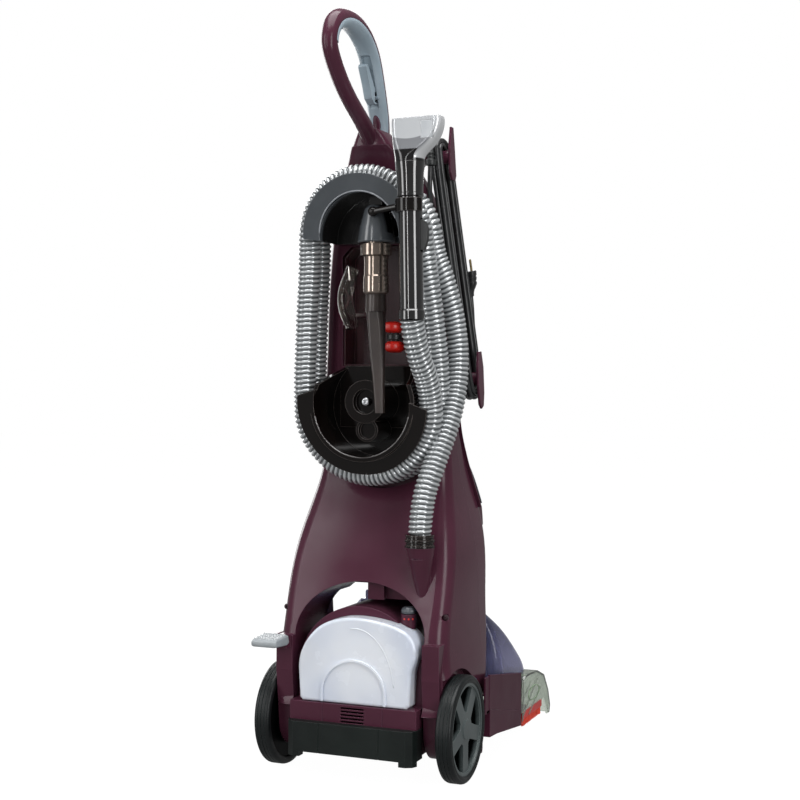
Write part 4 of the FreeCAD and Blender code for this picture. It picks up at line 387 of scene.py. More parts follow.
# ------------------------------------------------------------------ mesh helpers
def add_mesh(name, verts, faces, mat, body, smooth=True, angle=None):
    me = bpy.data.meshes.new(name)
    me.from_pydata([tuple(v) for v in verts], [], faces)
    me.validate()
    me.update()
    o = bpy.data.objects.new(name, me)
    bpy.context.scene.collection.objects.link(o)
    me.materials.append(MAT[mat])
    if smooth:
        me.shade_smooth()
        if angle:
            bpy.context.view_layer.objects.active = o
            o.select_set(True)
            me.set_sharp_from_angle(angle=math.radians(angle))
            o.select_set(False)
    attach(o, body)
    return o


def frame_of(axis):
    a = Vector(axis).normalized()
    u = a.orthogonal().normalized()
    return a, u, a.cross(u)


def lathe(profile, org, axis, segs=64, radius=None):
    """Turns (distance along axis, radius) points about the axis. radius(i, angle, r) may vary them."""
    a, u, w = frame_of(axis)
    org = Vector(org)
    vs, fs = [], []
    n = len(profile)
    for i, (h, r) in enumerate(profile):
        for k in range(segs):
            t = 2 * math.pi * k / segs
            rr = radius(i, t, r) if radius else r
            vs.append(org + a * h + (u * math.cos(t) + w * math.sin(t)) * rr)
    for i in range(n - 1):
        for k in range(segs):
            k2 = (k + 1) % segs
            fs.append((i * segs + k, i * segs + k2, (i + 1) * segs + k2, (i + 1) * segs + k))
    return vs, fs


def closed_lathe(profile, org, axis, segs=64, radius=None):
    """The same for a ring: the last profile point joins the first."""
    vs, fs = lathe(profile, org, axis, segs, radius)
    n = len(profile)
    for k in range(segs):
        k2 = (k + 1) % segs
        fs.append(((n - 1) * segs + k, (n - 1) * segs + k2, k2, k))
    return vs, fs


def cap(fs, first, segs, flip=False):
    ring = [first + k for k in range(segs)]
    fs.append(tuple(reversed(ring)) if flip else tuple(ring))


def merge(parts):
    vs, fs = [], []
    for v, f in parts:
        o = len(vs)
        vs += list(v)
        fs += [tuple(i + o for i in q) for q in f]
    return vs, fs


def block(c, u, v, w, hu, hv, hw, taper=0.0):
    """A box about c with half sizes along three directions; taper narrows its far end along w."""
    vs = []
    for sw in (-1, 1):
        k = 1.0 - (taper if sw > 0 else 0.0)
        for su, sv in ((-1, -1), (1, -1), (1, 1), (-1, 1)):
            vs.append(c + u * (hu * su * k) + v * (hv * sv * k) + w * (hw * sw))
    return vs, [(3, 2, 1, 0), (4, 5, 6, 7), (0, 1, 5, 4), (1, 2, 6, 5), (2, 3, 7, 6), (3, 0, 4, 7)]


def nurbs_line(pts, res=24):
    """Points read from the route's own NURBS spline."""
    cu = bpy.data.curves.new("route", "CURVE")
    cu.dimensions = "3D"
    cu.resolution_u = res
    sp = cu.splines.new("NURBS")
    sp.points.add(len(pts) - 1)
    for q, p in zip(sp.points, pts):
        q.co = (p[0], p[1], p[2], 1.0)
    sp.order_u = 3
    sp.use_endpoint_u = True
    ob = bpy.data.objects.new("route", cu)
    bpy.context.scene.collection.objects.link(ob)
    me = bpy.data.meshes.new_from_object(ob)
    line = [v.co.copy() for v in me.vertices]
    bpy.data.objects.remove(ob)
    bpy.data.meshes.remove(me)
    bpy.data.curves.remove(cu)
    return line


def resample(line, step):
    total = sum((b - a).length for a, b in zip(line, line[1:]))
    n = max(2, int(round(total / step)))
    out, acc, i = [line[0].copy()], 0.0, 0
    seg = (line[1] - line[0]).length
    for k in range(1, n):
        want = total * k / n
        while acc + seg < want and i < len(line) - 2:
            acc += seg
            i += 1
            seg = (line[i + 1] - line[i]).length
        out.append(line[i].lerp(line[i + 1], (want - acc) / seg if seg > 1e-12 else 0.0))
    out.append(line[-1].copy())
    return out, total


def sweep(line, segs, radius, caps=True):
    """Rings along a line, carried without twist. radius(i, share of turn) gives each point's radius."""
    n = len(line)
    tang = []
    for i in range(n):
        a = line[max(0, i - 1)]
        b = line[min(n - 1, i + 1)]
        tang.append((b - a).normalized())
    u = tang[0].orthogonal().normalized()
    vs, fs = [], []
    for i in range(n):
        if i:
            q = tang[i - 1].rotation_difference(tang[i])
            u = q @ u
            u = (u - tang[i] * u.dot(tang[i])).normalized()
        w = tang[i].cross(u)
        for k in range(segs):
            t = k / segs
            r = radius(i, t)
            vs.append(line[i] + (u * math.cos(2 * math.pi * t) + w * math.sin(2 * math.pi * t)) * r)
    for i in range(n - 1):
        for k in range(segs):
            k2 = (k + 1) % segs
            fs.append((i * segs + k, i * segs + k2, (i + 1) * segs + k2, (i + 1) * segs + k))
    if caps:
        cap(fs, 0, segs, True)
        cap(fs, (n - 1) * segs, segs)
    return vs, fs


# ------------------------------------------------------------------ camera
C = Vector((0.79726, -2.00495, 0.55699))
T = Vector((0.0, -0.12955, 0.5405))
fwd = (T - C).normalized()
right = fwd.cross(Vector((0, 0, 1))).normalized()
yaw, roll = math.radians(1.13), math.radians(0.38)
fwd = (fwd * math.cos(yaw) + right * math.sin(yaw)).normalized()
right = fwd.cross(Vector((0, 0, 1))).normalized()
up = right.cross(fwd)
rr = right * math.cos(roll) + up * math.sin(roll)
uu = up * math.cos(roll) - right * math.sin(roll)
cam = bpy.data.cameras.new("camera")
cam.lens = 63.22
cam.sensor_width = 36.0
cam.clip_end = 60.0
co = bpy.data.objects.new("camera", cam)
bpy.context.scene.collection.objects.link(co)
co.matrix_world = Matrix(((rr.x, uu.x, -fwd.x, C.x), (rr.y, uu.y, -fwd.y, C.y), (rr.z, uu.z, -fwd.z, C.z), (0, 0, 0, 1)))
bpy.context.scene.camera = co

# ------------------------------------------------------------------ the suction hose
oy = lambda z: (-20 - 0.148 * (z - 532)) if z < 650 else (-31 - 0.15 * (z - 774))
iy = lambda z: (15 - 0.15 * (z - 532)) if z < 650 else (4.2 - 0.15 * (z - 774))
K8 = math.cos(math.pi / 8)


def over_top(yf):
    return [(84.8 / K8 * math.cos(math.radians(a)), yf(774 + 84.8 / K8 * math.sin(math.radians(a))),
             774 + 84.8 / K8 * math.sin(math.radians(a))) for a in (22.5, 67.5, 112.5, 157.5)]


def under(yf):
    return [(99.2 / K8 * math.cos(math.radians(a)), yf(532 + 99.2 / K8 * math.sin(math.radians(a))),
             532 + 99.2 / K8 * math.sin(math.radians(a))) for a in (202.5, 247.5, 292.5, 337.5)]


HOSE = [(88, -33, 352), (90, -32.5, 398), (104, -18, 452), (117, 8, 512), (120, 33, 576), (116, 34, 646), (103, 20, 712),
        (90, 9, 752)]
HOSE += over_top(iy)
HOSE += [(-89, 7.5, 735), (-93.5, 10.5, 672), (-97, 13.5, 606), (-98.8, 16, 560)]
HOSE += under(iy)
HOSE += [(99.8, 8, 562), (98.5, -1, 620), (94.5, -12, 678), (89, -22.5, 735)]
HOSE += over_top(oy)
HOSE += [(-88.5, -27.5, 735), (-93.5, -24, 672), (-97, -21.5, 606), (-98.8, -20.5, 560)]
HOSE += under(oy)
HOSE += [(98.6, -24.5, 560), (91, -62, 611), (90, -74, 651.9)]
hose_line, hose_len = resample(nurbs_line([P(*q) for q in HOSE]), 0.00107)
PITCH = 0.0069


def hose_wave(i, t):
    ph = (i * hose_len / (len(hose_line) - 1)) / PITCH - t
    return 0.5 + 0.5 * math.cos(2 * math.pi * ph)


def hose_radius(i, t):
    k = hose_wave(i, t)
    return 0.01465 + 0.00235 * (k ** 0.7)


SEG = 28
hv_, hf_ = sweep(hose_line, SEG, hose_radius)
hose = add_mesh("suction_hose", hv_, hf_, "hose", "upright")
at = hose.data.attributes.new("ridge", "FLOAT", "POINT")
at.data.foreach_set("value", [hose_wave(i // SEG, (i % SEG) / SEG) for i in range(len(hose_line) * SEG)])
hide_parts("vac_hose")

# ------------------------------------------------------------------ the mains cord, its boot and its plug
HA, HB = Vector((87, 44, 893)), Vector((116.5, 98, 572))
HV = (HB - HA)
HL = HV.length
HV = HV.normalized()
HN = (Vector((1, 0, 0)) - HV * HV.x).normalized()
HU = HN.cross(HV)


def hank(a, b, c):
    q = HA + HV * a + HU * b + HN * c
    return (q.x, q.y, q.z)


CORD = [hank(10, -42.4, -1.9), hank(30, -45, -4.5), hank(55, -42, -9.5), hank(80, -34, -11), hank(105, -26, -11),
        hank(130, -21.8, -8), hank(155, -21.35, -7)]
TURNS = [(21.35, -7.0), (27.4, -3.5), (15.3, -3.5), (21.35, 0.0), (15.3, 3.5), (21.35, 7.0), (27.4, 3.5)]
rnd = random.Random(11)
for k, (r, c) in enumerate(TURNS):
    nr, nc = TURNS[k + 1] if k + 1 < len(TURNS) else (27.4, 3.5)
    if k:
        CORD += [hank(HL * 0.33, -r + rnd.uniform(-0.12, 0.12), c), hank(HL * 0.70, -r + rnd.uniform(-0.12, 0.12), c)]
    else:
        CORD += [hank(HL * 0.72, -r, c)]
    CORD += [hank(HL + r / K8 * math.sin(math.radians(a)), -r / K8 * math.cos(math.radians(a)), c)
             for a in (22.5, 67.5, 112.5, 157.5)]
    if k == len(TURNS) - 1:
        break
    CORD += [hank(HL * 0.68, r + rnd.uniform(-0.12, 0.12), c), hank(HL * 0.32, r + rnd.uniform(-0.12, 0.12), c)]
    for a in (22.5, 67.5, 112.5, 157.5):
        t = a / 180.0
        t = t * t * (3 - 2 * t)
        r2, c2 = r + (nr - r) * t, c + (nc - c) * t
        CORD.append(hank(-r2 / K8 * math.sin(math.radians(a)), r2 / K8 * math.cos(math.radians(a)), c2))
CORD += [hank(285, 27.4, 3.5), hank(250, 31, 3.5), hank(225, 38.5, 3.5), hank(208, 40.2, 3.5)]
cord_line, cord_len = resample(nurbs_line([P(*q) for q in CORD], 16), 0.0024)
cv, cf = sweep(cord_line, 14, lambda i, t: 0.0035)
cord = add_mesh("mains_cord", cv, cf, "cord", "upright")
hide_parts("cord_tube", "cord_hank", "cord_tail")

ROUTE = [Vector((38, 4, 897)), Vector((70, 4, 897))]
for k in range(13):
    a = math.radians(90.0 * k / 12)
    ROUTE.append(Vector((78.3 + 7.7 * math.sin(a), 4, 889.3 + 7.7 * math.cos(a))))
ROUTE += [Vector((86, 4, 884)), Vector((86, 4, 876.2))]
boot_line, boot_len = resample([P(*q) for q in ROUTE], 0.0005)
blen = [i * boot_len / (len(boot_line) - 1) for i in range(len(boot_line))]


def boot_radius(i, t):
    s = blen[i] * 1000
    if 17 < s < 22:
        return 0.0080
    if s > boot_len * 1000 - 7:
        return 0.0084 if s < boot_len * 1000 - 1 else 0.0078
    if s > 24:
        return 0.0062 if (s % 4.0) < 2.4 else 0.0048
    return 0.0064


bv_, bf_ = sweep(boot_line, 28, boot_radius)
boot = add_mesh("cord_boot", bv_, bf_, "black_satin", "upright", True, 35)
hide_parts("strain_relief")


def plug_point(x, y, z):
    q = Vector(hank(208, 40.2, 3.5)) + HN * x + HU * y - HV * z
    return P(q.x, q.y, q.z)


def rounded_ring(hx, hy, r, z, n=6):
    out = []
    for cx, cy, a0 in ((hx - r, hy - r, 0), (-hx + r, hy - r, 90), (-hx + r, -hy + r, 180), (hx - r, -hy + r, 270)):
        for k in range(n):
            a = math.radians(a0 + 90.0 * k / (n - 1))
            out.append(plug_point(cx + r * math.cos(a), cy + r * math.sin(a), z))
    return out


rings = [(4.6, 4.6, 4.4, 0.1), (4.9, 4.9, 4.5, 1.2), (5.2, 5.2, 4.5, 2.6), (4.7, 4.7, 4.5, 3.2), (5.6, 5.6, 4.5, 5.2), (5.1, 5.1, 4.5, 5.9),
         (6.3, 6.2, 4.5, 8.0), (6.0, 5.8, 4.5, 8.8), (7.4, 6.9, 4.5, 11), (9.4, 7.7, 4.5, 15), (10.9, 7.9, 4.5, 18.2),
         (10.9, 7.9, 4.5, 21), (10.3, 7.4, 4.3, 21.5), (10.3, 7.4, 4.3, 23.3), (11.1, 8.0, 4.5, 23.8), (11.7, 8.2, 4.5, 28),
         (11.2, 7.6, 4.3, 28.5), (11.2, 7.6, 4.3, 30.3), (11.9, 8.3, 4.5, 30.8), (12.3, 8.4, 4.5, 36.6), (11.5, 7.7, 4.0, 37.9)]
pv, pf = [], []
for hx, hy, r, z in rings:
    pv += rounded_ring(hx, hy, r, z)
nr_ = 24
for i in range(len(rings) - 1):
    for k in range(nr_):
        k2 = (k + 1) % nr_
        pf.append((i * nr_ + k, i * nr_ + k2, (i + 1) * nr_ + k2, (i + 1) * nr_ + k))
cap(pf, 0, nr_, True)
cap(pf, (len(rings) - 1) * nr_, nr_)
plug = add_mesh("mains_plug_body", pv, pf, "plug", "upright", True, 40)
parts = []
for dx in (-6.3, 6.3):
    vs = []
    for z, w_, t_ in ((36.5, 3.2, 0.8), (52.6, 3.2, 0.8), (54.4, 2.7, 0.7), (55.6, 1.6, 0.4)):
        for sx, sy in ((-1, -1), (1, -1), (1, 1), (-1, 1)):
            vs.append(plug_point(dx + t_ * sx, w_ * sy, z))
    fs = [(3, 2, 1, 0), (12, 13, 14, 15)]
    for i in range(3):
        for k in range(4):
            k2 = (k + 1) % 4
            fs.append((4 * i + k, 4 * i + k2, 4 * i + 4 + k2, 4 * i + 4 + k))
    parts.append((vs, fs))
pv, pf = merge(parts)
prongs = add_mesh("mains_plug_prongs", pv, pf, "brass", "upright", True, 30)
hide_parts("mains_plug")

# ------------------------------------------------------------------ tyres
TIRE = [(128.2, 65.0), (149.8, 65.0), (150.9, 66.4), (151.0, 67.4), (150.5, 68.0), (150.5, 71.0), (151.0, 71.5), (150.6, 73.2),
        (149.5, 74.8), (148.2, 75.6), (146.6, 76.0), (145.2, 76.0), (145.0, 75.2), (144.2, 75.2), (144.0, 76.0), (140.0, 76.0),
        (139.8, 75.0), (138.8, 75.0), (138.6, 76.0), (134.6, 76.0), (134.4, 75.2), (133.6, 75.2), (133.4, 76.0),
        (131.6, 76.0), (130.0, 75.5), (128.5, 74.8), (127.2, 72.4), (127.0, 70.0), (127.2, 67.0)]
for side, sx in (("right", 1), ("left", -1)):
    prof = [(sx * x / 1000.0, r / 1000.0) for x, r in (TIRE if sx > 0 else reversed(TIRE))]
    tv, tf = closed_lathe(prof, P(0, 0, 76), (1, 0, 0), 128)
    if sx > 0:
        tf = [tuple(reversed(q)) for q in tf]
    else:
        tf = [tuple(reversed(q)) for q in tf]
    t = add_mesh("tyre_" + side, tv, tf, "tire", "wheel_" + side, True, 40)
    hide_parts("tire_" + side)

# ------------------------------------------------------------------ brush rolls and edge brushes
def bristle(base, direction, side_, length, width, tip=0.55):
    d = Vector(direction).normalized()
    u = Vector(side_) - d * d.dot(Vector(side_))
    u = u.normalized()
    w2 = d.cross(u)
    vs = []
    for s, k in ((0.0, 1.0), (1.0, tip)):
        for a in (0, 120, 240):
            vs.append(base + d * (length * s) + (u * math.cos(math.radians(a)) + w2 * math.sin(math.radians(a))) * (width * k))
    return vs, [(2, 1, 0), (3, 4, 5), (0, 1, 4, 3), (1, 2, 5, 4), (2, 0, 3, 5)]


for nm, yb, phase, body in (("rear", 287, 0, "brush_rear"), ("front", 340, 45, "brush_front")):
    core = [(-143.5, 0.05), (-143.5, 9.6), (-143.1, 10), (-142.2, 10), (-142, 8), (-132, 8), (-132, 4), (-125, 4), (-125, 8.6), (-124.4, 9),
            (-122, 12.6), (-121.4, 13), (121.4, 13), (122, 12.6), (124.4, 9), (125, 8.6), (125, 4), (131, 4), (131, 0.05)]
    rv, rf = lathe([(x / 1000.0, r / 1000.0) for x, r in core], P(0, yb, 27), (1, 0, 0), 48)
    rf = [tuple(reversed(q)) for q in rf]
    cap(rf, 0, 48)
    cap(rf, (len(core) - 1) * 48, 48, True)
    o = add_mesh("roll_core_" + nm, rv, rf, "black_satin", body, True, 35)
    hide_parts("brush_roll_" + nm)
    rb = random.Random(5 + phase)
    parts = []
    for k in range(24):
        for sk_ in (0, 1):
            a = math.radians(phase + 15.0 * k + 180 * sk_)
            x = -115 + 10 * k
            rad = Vector((0, math.cos(a), math.sin(a)))
            tan = Vector((0, -math.sin(a), math.cos(a)))
            for q in range(13):
                px, pt = rb.uniform(-1.7, 1.7), rb.uniform(-1.7, 1.7)
                b0 = P(x, yb, 27) + Vector((px / 1000, 0, 0)) + rad * 0.0120 + tan * (pt / 1000)
                d = rad + Vector((px * 0.07, 0, 0)) + tan * (pt * 0.07)
                parts.append(bristle(b0, d, (1, 0, 0), 0.0104 + rb.uniform(-0.0005, 0.0002), 0.00033))
    vv, ff = merge(parts)
    add_mesh("roll_bristles_" + nm, vv, ff, "bristle_dark" if nm == "rear" else "bristle_red", body, False)

EDGE = []
parts, rb = [], random.Random(3)
for sx in (1, -1):
    c = P(sx * 146.9, 323, 37.6)
    parts.append(block(c, Vector((1, 0, 0)), Vector((0, 1, 0)), Vector((0, 0, 1)), 0.0026, 0.0522, 0.0058))
    for y in [272.5 + 3.1 * k for k in range(33)]:
        for q in range(16):
            b0 = P(sx * 146.9 + rb.uniform(-1.5, 1.5), y + rb.uniform(-0.95, 0.95), 32.4)
            EDGE.append(bristle(b0, (sx * rb.uniform(-0.02, 0.05), rb.uniform(-0.05, 0.05), -1), (1, 0, 0),
                                0.0125 + rb.uniform(-0.0008, 0.0006), 0.0003))
vv, ff = merge(parts)
e1 = add_mesh("edge_brush_backs", vv, ff, "red", "base", True, 30)
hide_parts("edge_brushes")
vv, ff = merge(EDGE)
add_mesh("edge_brush_bristles", vv, ff, "bristle_red", "base", False)

# ------------------------------------------------------------------ screws: a bright one in the hub, dark plugs in the corners
def screw_head(c, r, h, mat_i, cross=True):
    """A domed head facing -Y with a cross recess cut into its cap."""
    prof = [(0.0, r), (h * 0.45, r), (h * 0.72, r * 0.95), (h * 0.9, r * 0.82), (h, r * 0.62)]
    vs, fs = lathe(prof, c, (0, -1, 0), 48)
    n0 = len(vs) - 48
    fs = [tuple(reversed(q)) for q in fs]
    a, u, w2 = frame_of((0, -1, 0))
    k = r * 0.5
    j = r * 0.13
    star = [(j, k), (j, j), (k, j), (k, -j), (j, -j), (j, -k), (-j, -k), (-j, -j), (-k, -j), (-k, j), (-j, j), (-j, k)]
    s0 = len(vs)
    for depth in (h, h * 0.35):
        for x, y in star:
            vs.append(c + a * depth + u * x + w2 * y)
    m0 = len(star)
    for i in range(m0):
        i2 = (i + 1) % m0
        fs.append((s0 + i, s0 + i2, s0 + m0 + i2, s0 + m0 + i))
    fs.append(tuple(s0 + m0 + i for i in range(m0)))
    # the ring between the round edge and the star
    ang = [math.atan2(y, x) for x, y in star]
    for kk in range(48):
        t0 = 2 * math.pi * kk / 48
        def near(t):
            return min(range(m0), key=lambda i: abs((ang[i] - t + math.pi) % (2 * math.pi) - math.pi))
        i0, i1 = near(t0), near(t0 + 2 * math.pi / 48)
        fs.append((n0 + (kk + 1) % 48, n0 + kk, s0 + i0))
        if i0 != i1:
            st = i0
            step = -1 if (i0 - i1) % m0 <= m0 // 2 else 1
            while st != i1:
                nx = (st + step) % m0
                fs.append((n0 + (kk + 1) % 48, s0 + st, s0 + nx))
                st = nx
    return vs, fs


vs1, fs1 = screw_head(P(0, -22.5, 538), 0.0060, 0.0044, 0)
s1 = add_mesh("hub_screw", vs1, fs1, "steel", "upright", True, 30)
pts_ = [screw_head(P(x, -22.5, 236), 0.0042, 0.0030, 1) for x in (-124, 124)]
vs1, fs1 = merge(pts_)
s2 = add_mesh("corner_screws", vs1, fs1, "screw_dark", "upright", True, 30)
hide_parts("shell_screws")

# ------------------------------------------------------------------ pedal tread, knob grips, marks below the knob
PAD = [(-112.6, 193.0), (-111.6, 191.4), (-109.6, 190.6), (-74, 188.6), (-70.4, 189.6), (-69.7, 191), (-69.7, 200.5), (-70.6, 202.6),
       (-73, 203.6), (-76, 203.8), (-106, 201.4), (-110.4, 200.2), (-112.2, 198.6), (-112.8, 196)]


def pad_ring(x, inset):
    yc, zc_ = -91.0, 196.5
    out = []
    for y, z in PAD:
        dy, dz = y - yc, z - zc_
        out.append(P(x, yc + dy * (1 - inset / 22.0), zc_ + dz * (1 - inset / 7.5)))
    return out


pv, pf = [], []
xs = [(-136.6, 2.2), (-136.0, 1.2), (-134.6, 0.35), (-132.6, 0.0), (-101.4, 0.0), (-99.4, 0.35), (-98.0, 1.2), (-97.4, 2.2)]
for x, q in xs:
    pv += pad_ring(x, q)
np_ = len(PAD)
for i in range(len(xs) - 1):
    for k in range(np_):
        k2 = (k + 1) % np_
        pf.append((i * np_ + k, i * np_ + k2, (i + 1) * np_ + k2, (i + 1) * np_ + k))
cap(pf, 0, np_, True)
cap(pf, (len(xs) - 1) * np_, np_)
parts = [(pv, pf)]
hv1, hf1 = lathe([(-0.0045, 0.0001), (-0.0045, 0.0060), (0.0045, 0.0060), (0.0045, 0.0001)], P(-119.9, -61.5, 192), (1, 0, 0), 40)
parts.append((hv1, [tuple(reversed(q)) for q in hf1]))
hv1, hf1 = lathe([(-0.0139, 0.0001), (-0.0139, 0.0029), (0.0139, 0.0029), (0.0139, 0.0001)], P(-117, -61.5, 192), (1, 0, 0), 32)
parts.append((hv1, [tuple(reversed(q)) for q in hf1]))
parts.append(block(P(-119.9, -66.5, 192), Vector((1, 0, 0)), Vector((0, 1, 0)), Vector((0, 0, 1)), 0.0044, 0.0052, 0.0044))
vv, ff = merge(parts)
pad = add_mesh("pedal_pad", vv, ff, "pedal", "pedal", True, 30)
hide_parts("foot_pedal")
parts = []
slope = Vector((0, 30, 2.4)).normalized()
nrm_ = Vector((0, -2.4, 30)).normalized()
for k in range(7):
    y = -105.0 + 4.9 * k
    z = 201.4 + 2.4 * (y + 106.0) / 30.0
    for j in range(7):
        x = -132 + 5.0 * j + (1.3 if k % 2 else -1.3)
        d = Vector((1, 0.75 if (j + k) % 2 else -0.75, 0))
        d = (d - nrm_ * d.dot(nrm_)).normalized()
        parts.append(block(P(x, y, z + 0.3), d, nrm_.cross(d), nrm_, 0.0026, 0.0007, 0.0008, 0.25))
vv, ff = merge(parts)
add_mesh("pedal_tread", vv, ff, "pedal_light", "pedal", True, 30)

kn = [(238.4, 0.05), (238.4, 8.0), (239.5, 10.3), (240.5, 10.5), (243.6, 10.5), (244.4, 10.2), (246.8, 8.6), (247.7, 7.4), (248.0, 6.6),
      (247.6, 6.2), (247.4, 0.05)]


def knob_r(i, t, r):
    return r * (1 - 0.045 * (0.5 + 0.5 * math.cos(20 * t))) if 2 <= i <= 5 else r


kv, kf = lathe([((z - 238.0) / 1000.0, r / 1000.0) for z, r in kn], P(69, -26, 238.0), (0, 0, 1), 120, knob_r)
kf = [tuple(reversed(q)) for q in kf]
st_v, st_f = lathe([(-0.0138, 0.00005), (-0.0138, 0.0050), (0.0006, 0.0050), (0.0006, 0.00005)], P(69, -26, 238.0), (0, 0, 1), 32)
st_f = [tuple(reversed(q)) for q in st_f]
bar_ = block(P(69, -29.6, 247.9), Vector((1, 0, 0)), Vector((0, 1, 0)), Vector((0, 0, 1)), 0.0007, 0.0034, 0.0005)
vv, ff = merge([(kv, kf), (st_v, st_f), bar_])
k1 = add_mesh("dial_knob", vv, ff, "hook_gray", "knob", True, 35)
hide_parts("formula_knob")
parts = []
for a in (-100, -68, -36):
    d = Vector((math.cos(math.radians(a)), math.sin(math.radians(a)), 0))
    q = P(69, -26, 232) + d * 0.0111
    dv, df = lathe([(-0.0006, 0.0013), (0.0003, 0.0013), (0.0006, 0.0008), (0.0006, 0.00002)], q, d, 20)
    parts.append((dv, [tuple(reversed(f)) for f in df]))
vv, ff = merge(parts)
add_mesh("dial_marks", vv, ff, "red", "base", True, 35)

# ------------------------------------------------------------------ rear tank: the moulded line across its face
line = []
for k in range(33):
    t = k / 32.0
    a = math.radians(100 - 92 * t)
    line.append(P(4 + 52 * math.cos(a) + 6 * t, -61.95, 152 + 66 * math.sin(a) - 22 * t * t))
lv, lf = sweep(line, 10, lambda i, t: 0.0007)
add_mesh("tank_face_line", lv, lf, "milky_rim", "solution_tank")

# ------------------------------------------------------------------ bright lips along the hooks' inner rims; the upper lip's light grey is a painted highlight
from mathutils.bvhtree import BVHTree


def rim_of(node_name, cx, cz, a0, a1, r0, r1, steps):
    ob = NODE[node_name]
    mw = ob.matrix_world
    tree = BVHTree.FromPolygons([mw @ v.co for v in ob.data.vertices], [tuple(q.vertices) for q in ob.data.polygons])
    out = []
    for i in range(steps + 1):
        a = math.radians(a0 + (a1 - a0) * i / steps)
        last = None
        r = r1
        while r > r0:
            o_ = Vector((cx / 1000 + math.cos(a) * r / 1000, -0.4, cz / 1000 + math.sin(a) * r / 1000))
            hit = tree.ray_cast(o_, Vector((0, 1, 0)))
            y = hit[0].y if hit[0] is not None else 9.0
            if last is not None and y - last[1].y > 0.006:
                break
            if hit[0] is not None:
                last = (r, hit[0])
            elif last is not None:
                break
            r -= 0.5
        if last is not None and r > r0:
            out.append(last[1] + Vector((0, 0.0002, 0)))
    return out


LIPS = []
for nm, cx, cz, a0, a1, r0, r1, mat_, body_, slot_ in (
        ("upper_hose_hook", 0, 774, 20, 176, 30, 84, "hook_lip", "upright", "gray_gloss"),
        ("lower_hose_hook", 0, 532, 192, 348, 30, 96, "dark_lip", "upright", "black_gloss")):
    pts_ = rim_of(nm, cx, cz, a0, a1, r0, r1, 60)
    LIPS.append((nm, len(pts_)))
    if len(pts_) > 8:
        smooth_ = [pts_[0]] + [(pts_[i - 1] + pts_[i] * 2 + pts_[i + 1]) / 4 for i in range(1, len(pts_) - 1)] + [pts_[-1]]
        line_, _ = resample(smooth_, 0.002)
        lv, lf = sweep(line_, 14, lambda i, t: 0.0011)
        add_mesh(nm + "_lip", lv, lf, mat_, body_)

# ------------------------------------------------------------------ stain brush
def ball(c, rx, ry, rz, n=20, m2=28, ridge=0.0):
    vs, fs = [], []
    for i in range(1, n):
        th = math.pi * i / n
        for k in range(m2):
            ph = 2 * math.pi * k / m2
            q = 1.0 + ridge * math.cos(9 * ph) * math.sin(th)
            sx_, sy_ = math.cos(ph), math.sin(ph)
            e = 0.72
            sx_ = math.copysign(abs(sx_) ** e, sx_)
            sy_ = math.copysign(abs(sy_) ** e, sy_)
            cz = math.copysign(abs(math.cos(th)) ** e, math.cos(th))
            vs.append(P(c[0] + rx * q * (math.sin(th) ** e) * sx_, c[1] + ry * q * (math.sin(th) ** e) * sy_, c[2] + rz * cz))
    for i in range(n - 2):
        for k in range(m2):
            k2 = (k + 1) % m2
            fs.append((i * m2 + k, (i + 1) * m2 + k, (i + 1) * m2 + k2, i * m2 + k2))
    cap(fs, 0, m2)
    cap(fs, (n - 2) * m2, m2, True)
    return vs, fs


vv, ff = merge([ball((25, 21, 646.2), 12.8, 18.8, 8.6, ridge=0.03), ball((25.6, 22, 617.8), 12.2, 17.8, 8.7, ridge=0.03)])
stain = add_mesh("stain_brush_grips", vv, ff, "red", "stain", True, 60)
sv, sf = lathe([(-0.0085, 0.0001), (-0.0085, 0.0062), (-0.004, 0.0070), (-0.0035, 0.0105), (0.0035, 0.0105), (0.004, 0.0070),
                (0.0085, 0.0062), (0.0085, 0.0001)], P(25, 21.5, 632), (0, 0, 1), 36)
stem = add_mesh("stain_brush_stem", sv, [tuple(reversed(q)) for q in sf], "black_satin", "stain", True, 35)
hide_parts("stain_brush")
tufts, rb = [], random.Random(21)
for k in range(7):
    for j in range(3):
        for q in range(9):
            b0 = P(12.9 + 0.4 * j, 9 + 4.2 * k + rb.uniform(-1.2, 1.2), 642.5 + 3.4 * j + rb.uniform(-1.0, 1.0))
            tufts.append(bristle(b0, (-1, rb.uniform(-0.1, 0.1), rb.uniform(-0.1, 0.1)), (0, 1, 0), 0.0009, 0.0003))
vv, ff = merge(tufts)
add_mesh("stain_brush_tufts", vv, ff, "bristle_white", "stain", False)

# ------------------------------------------------------------------ the base cover's side skirt reaches back to the wheel
parts = []
for sx in (1, -1):
    parts.append(block(P(sx * 147.9, 89.6, 106), Vector((1, 0, 0)), Vector((0, 1, 0)), Vector((0, 0, 1)), 0.0014, 0.0090, 0.0268))
    parts.append(block(P(sx * 147.9, 92.6, 81), Vector((1, 0, 0)), Vector((0, 1, 0)), Vector((0, 0, 1)), 0.0014, 0.0060, 0.0020))
vv, ff = merge(parts)
add_mesh("base_side_skirt", vv, ff, "maroon_matte", "base", True, 30)

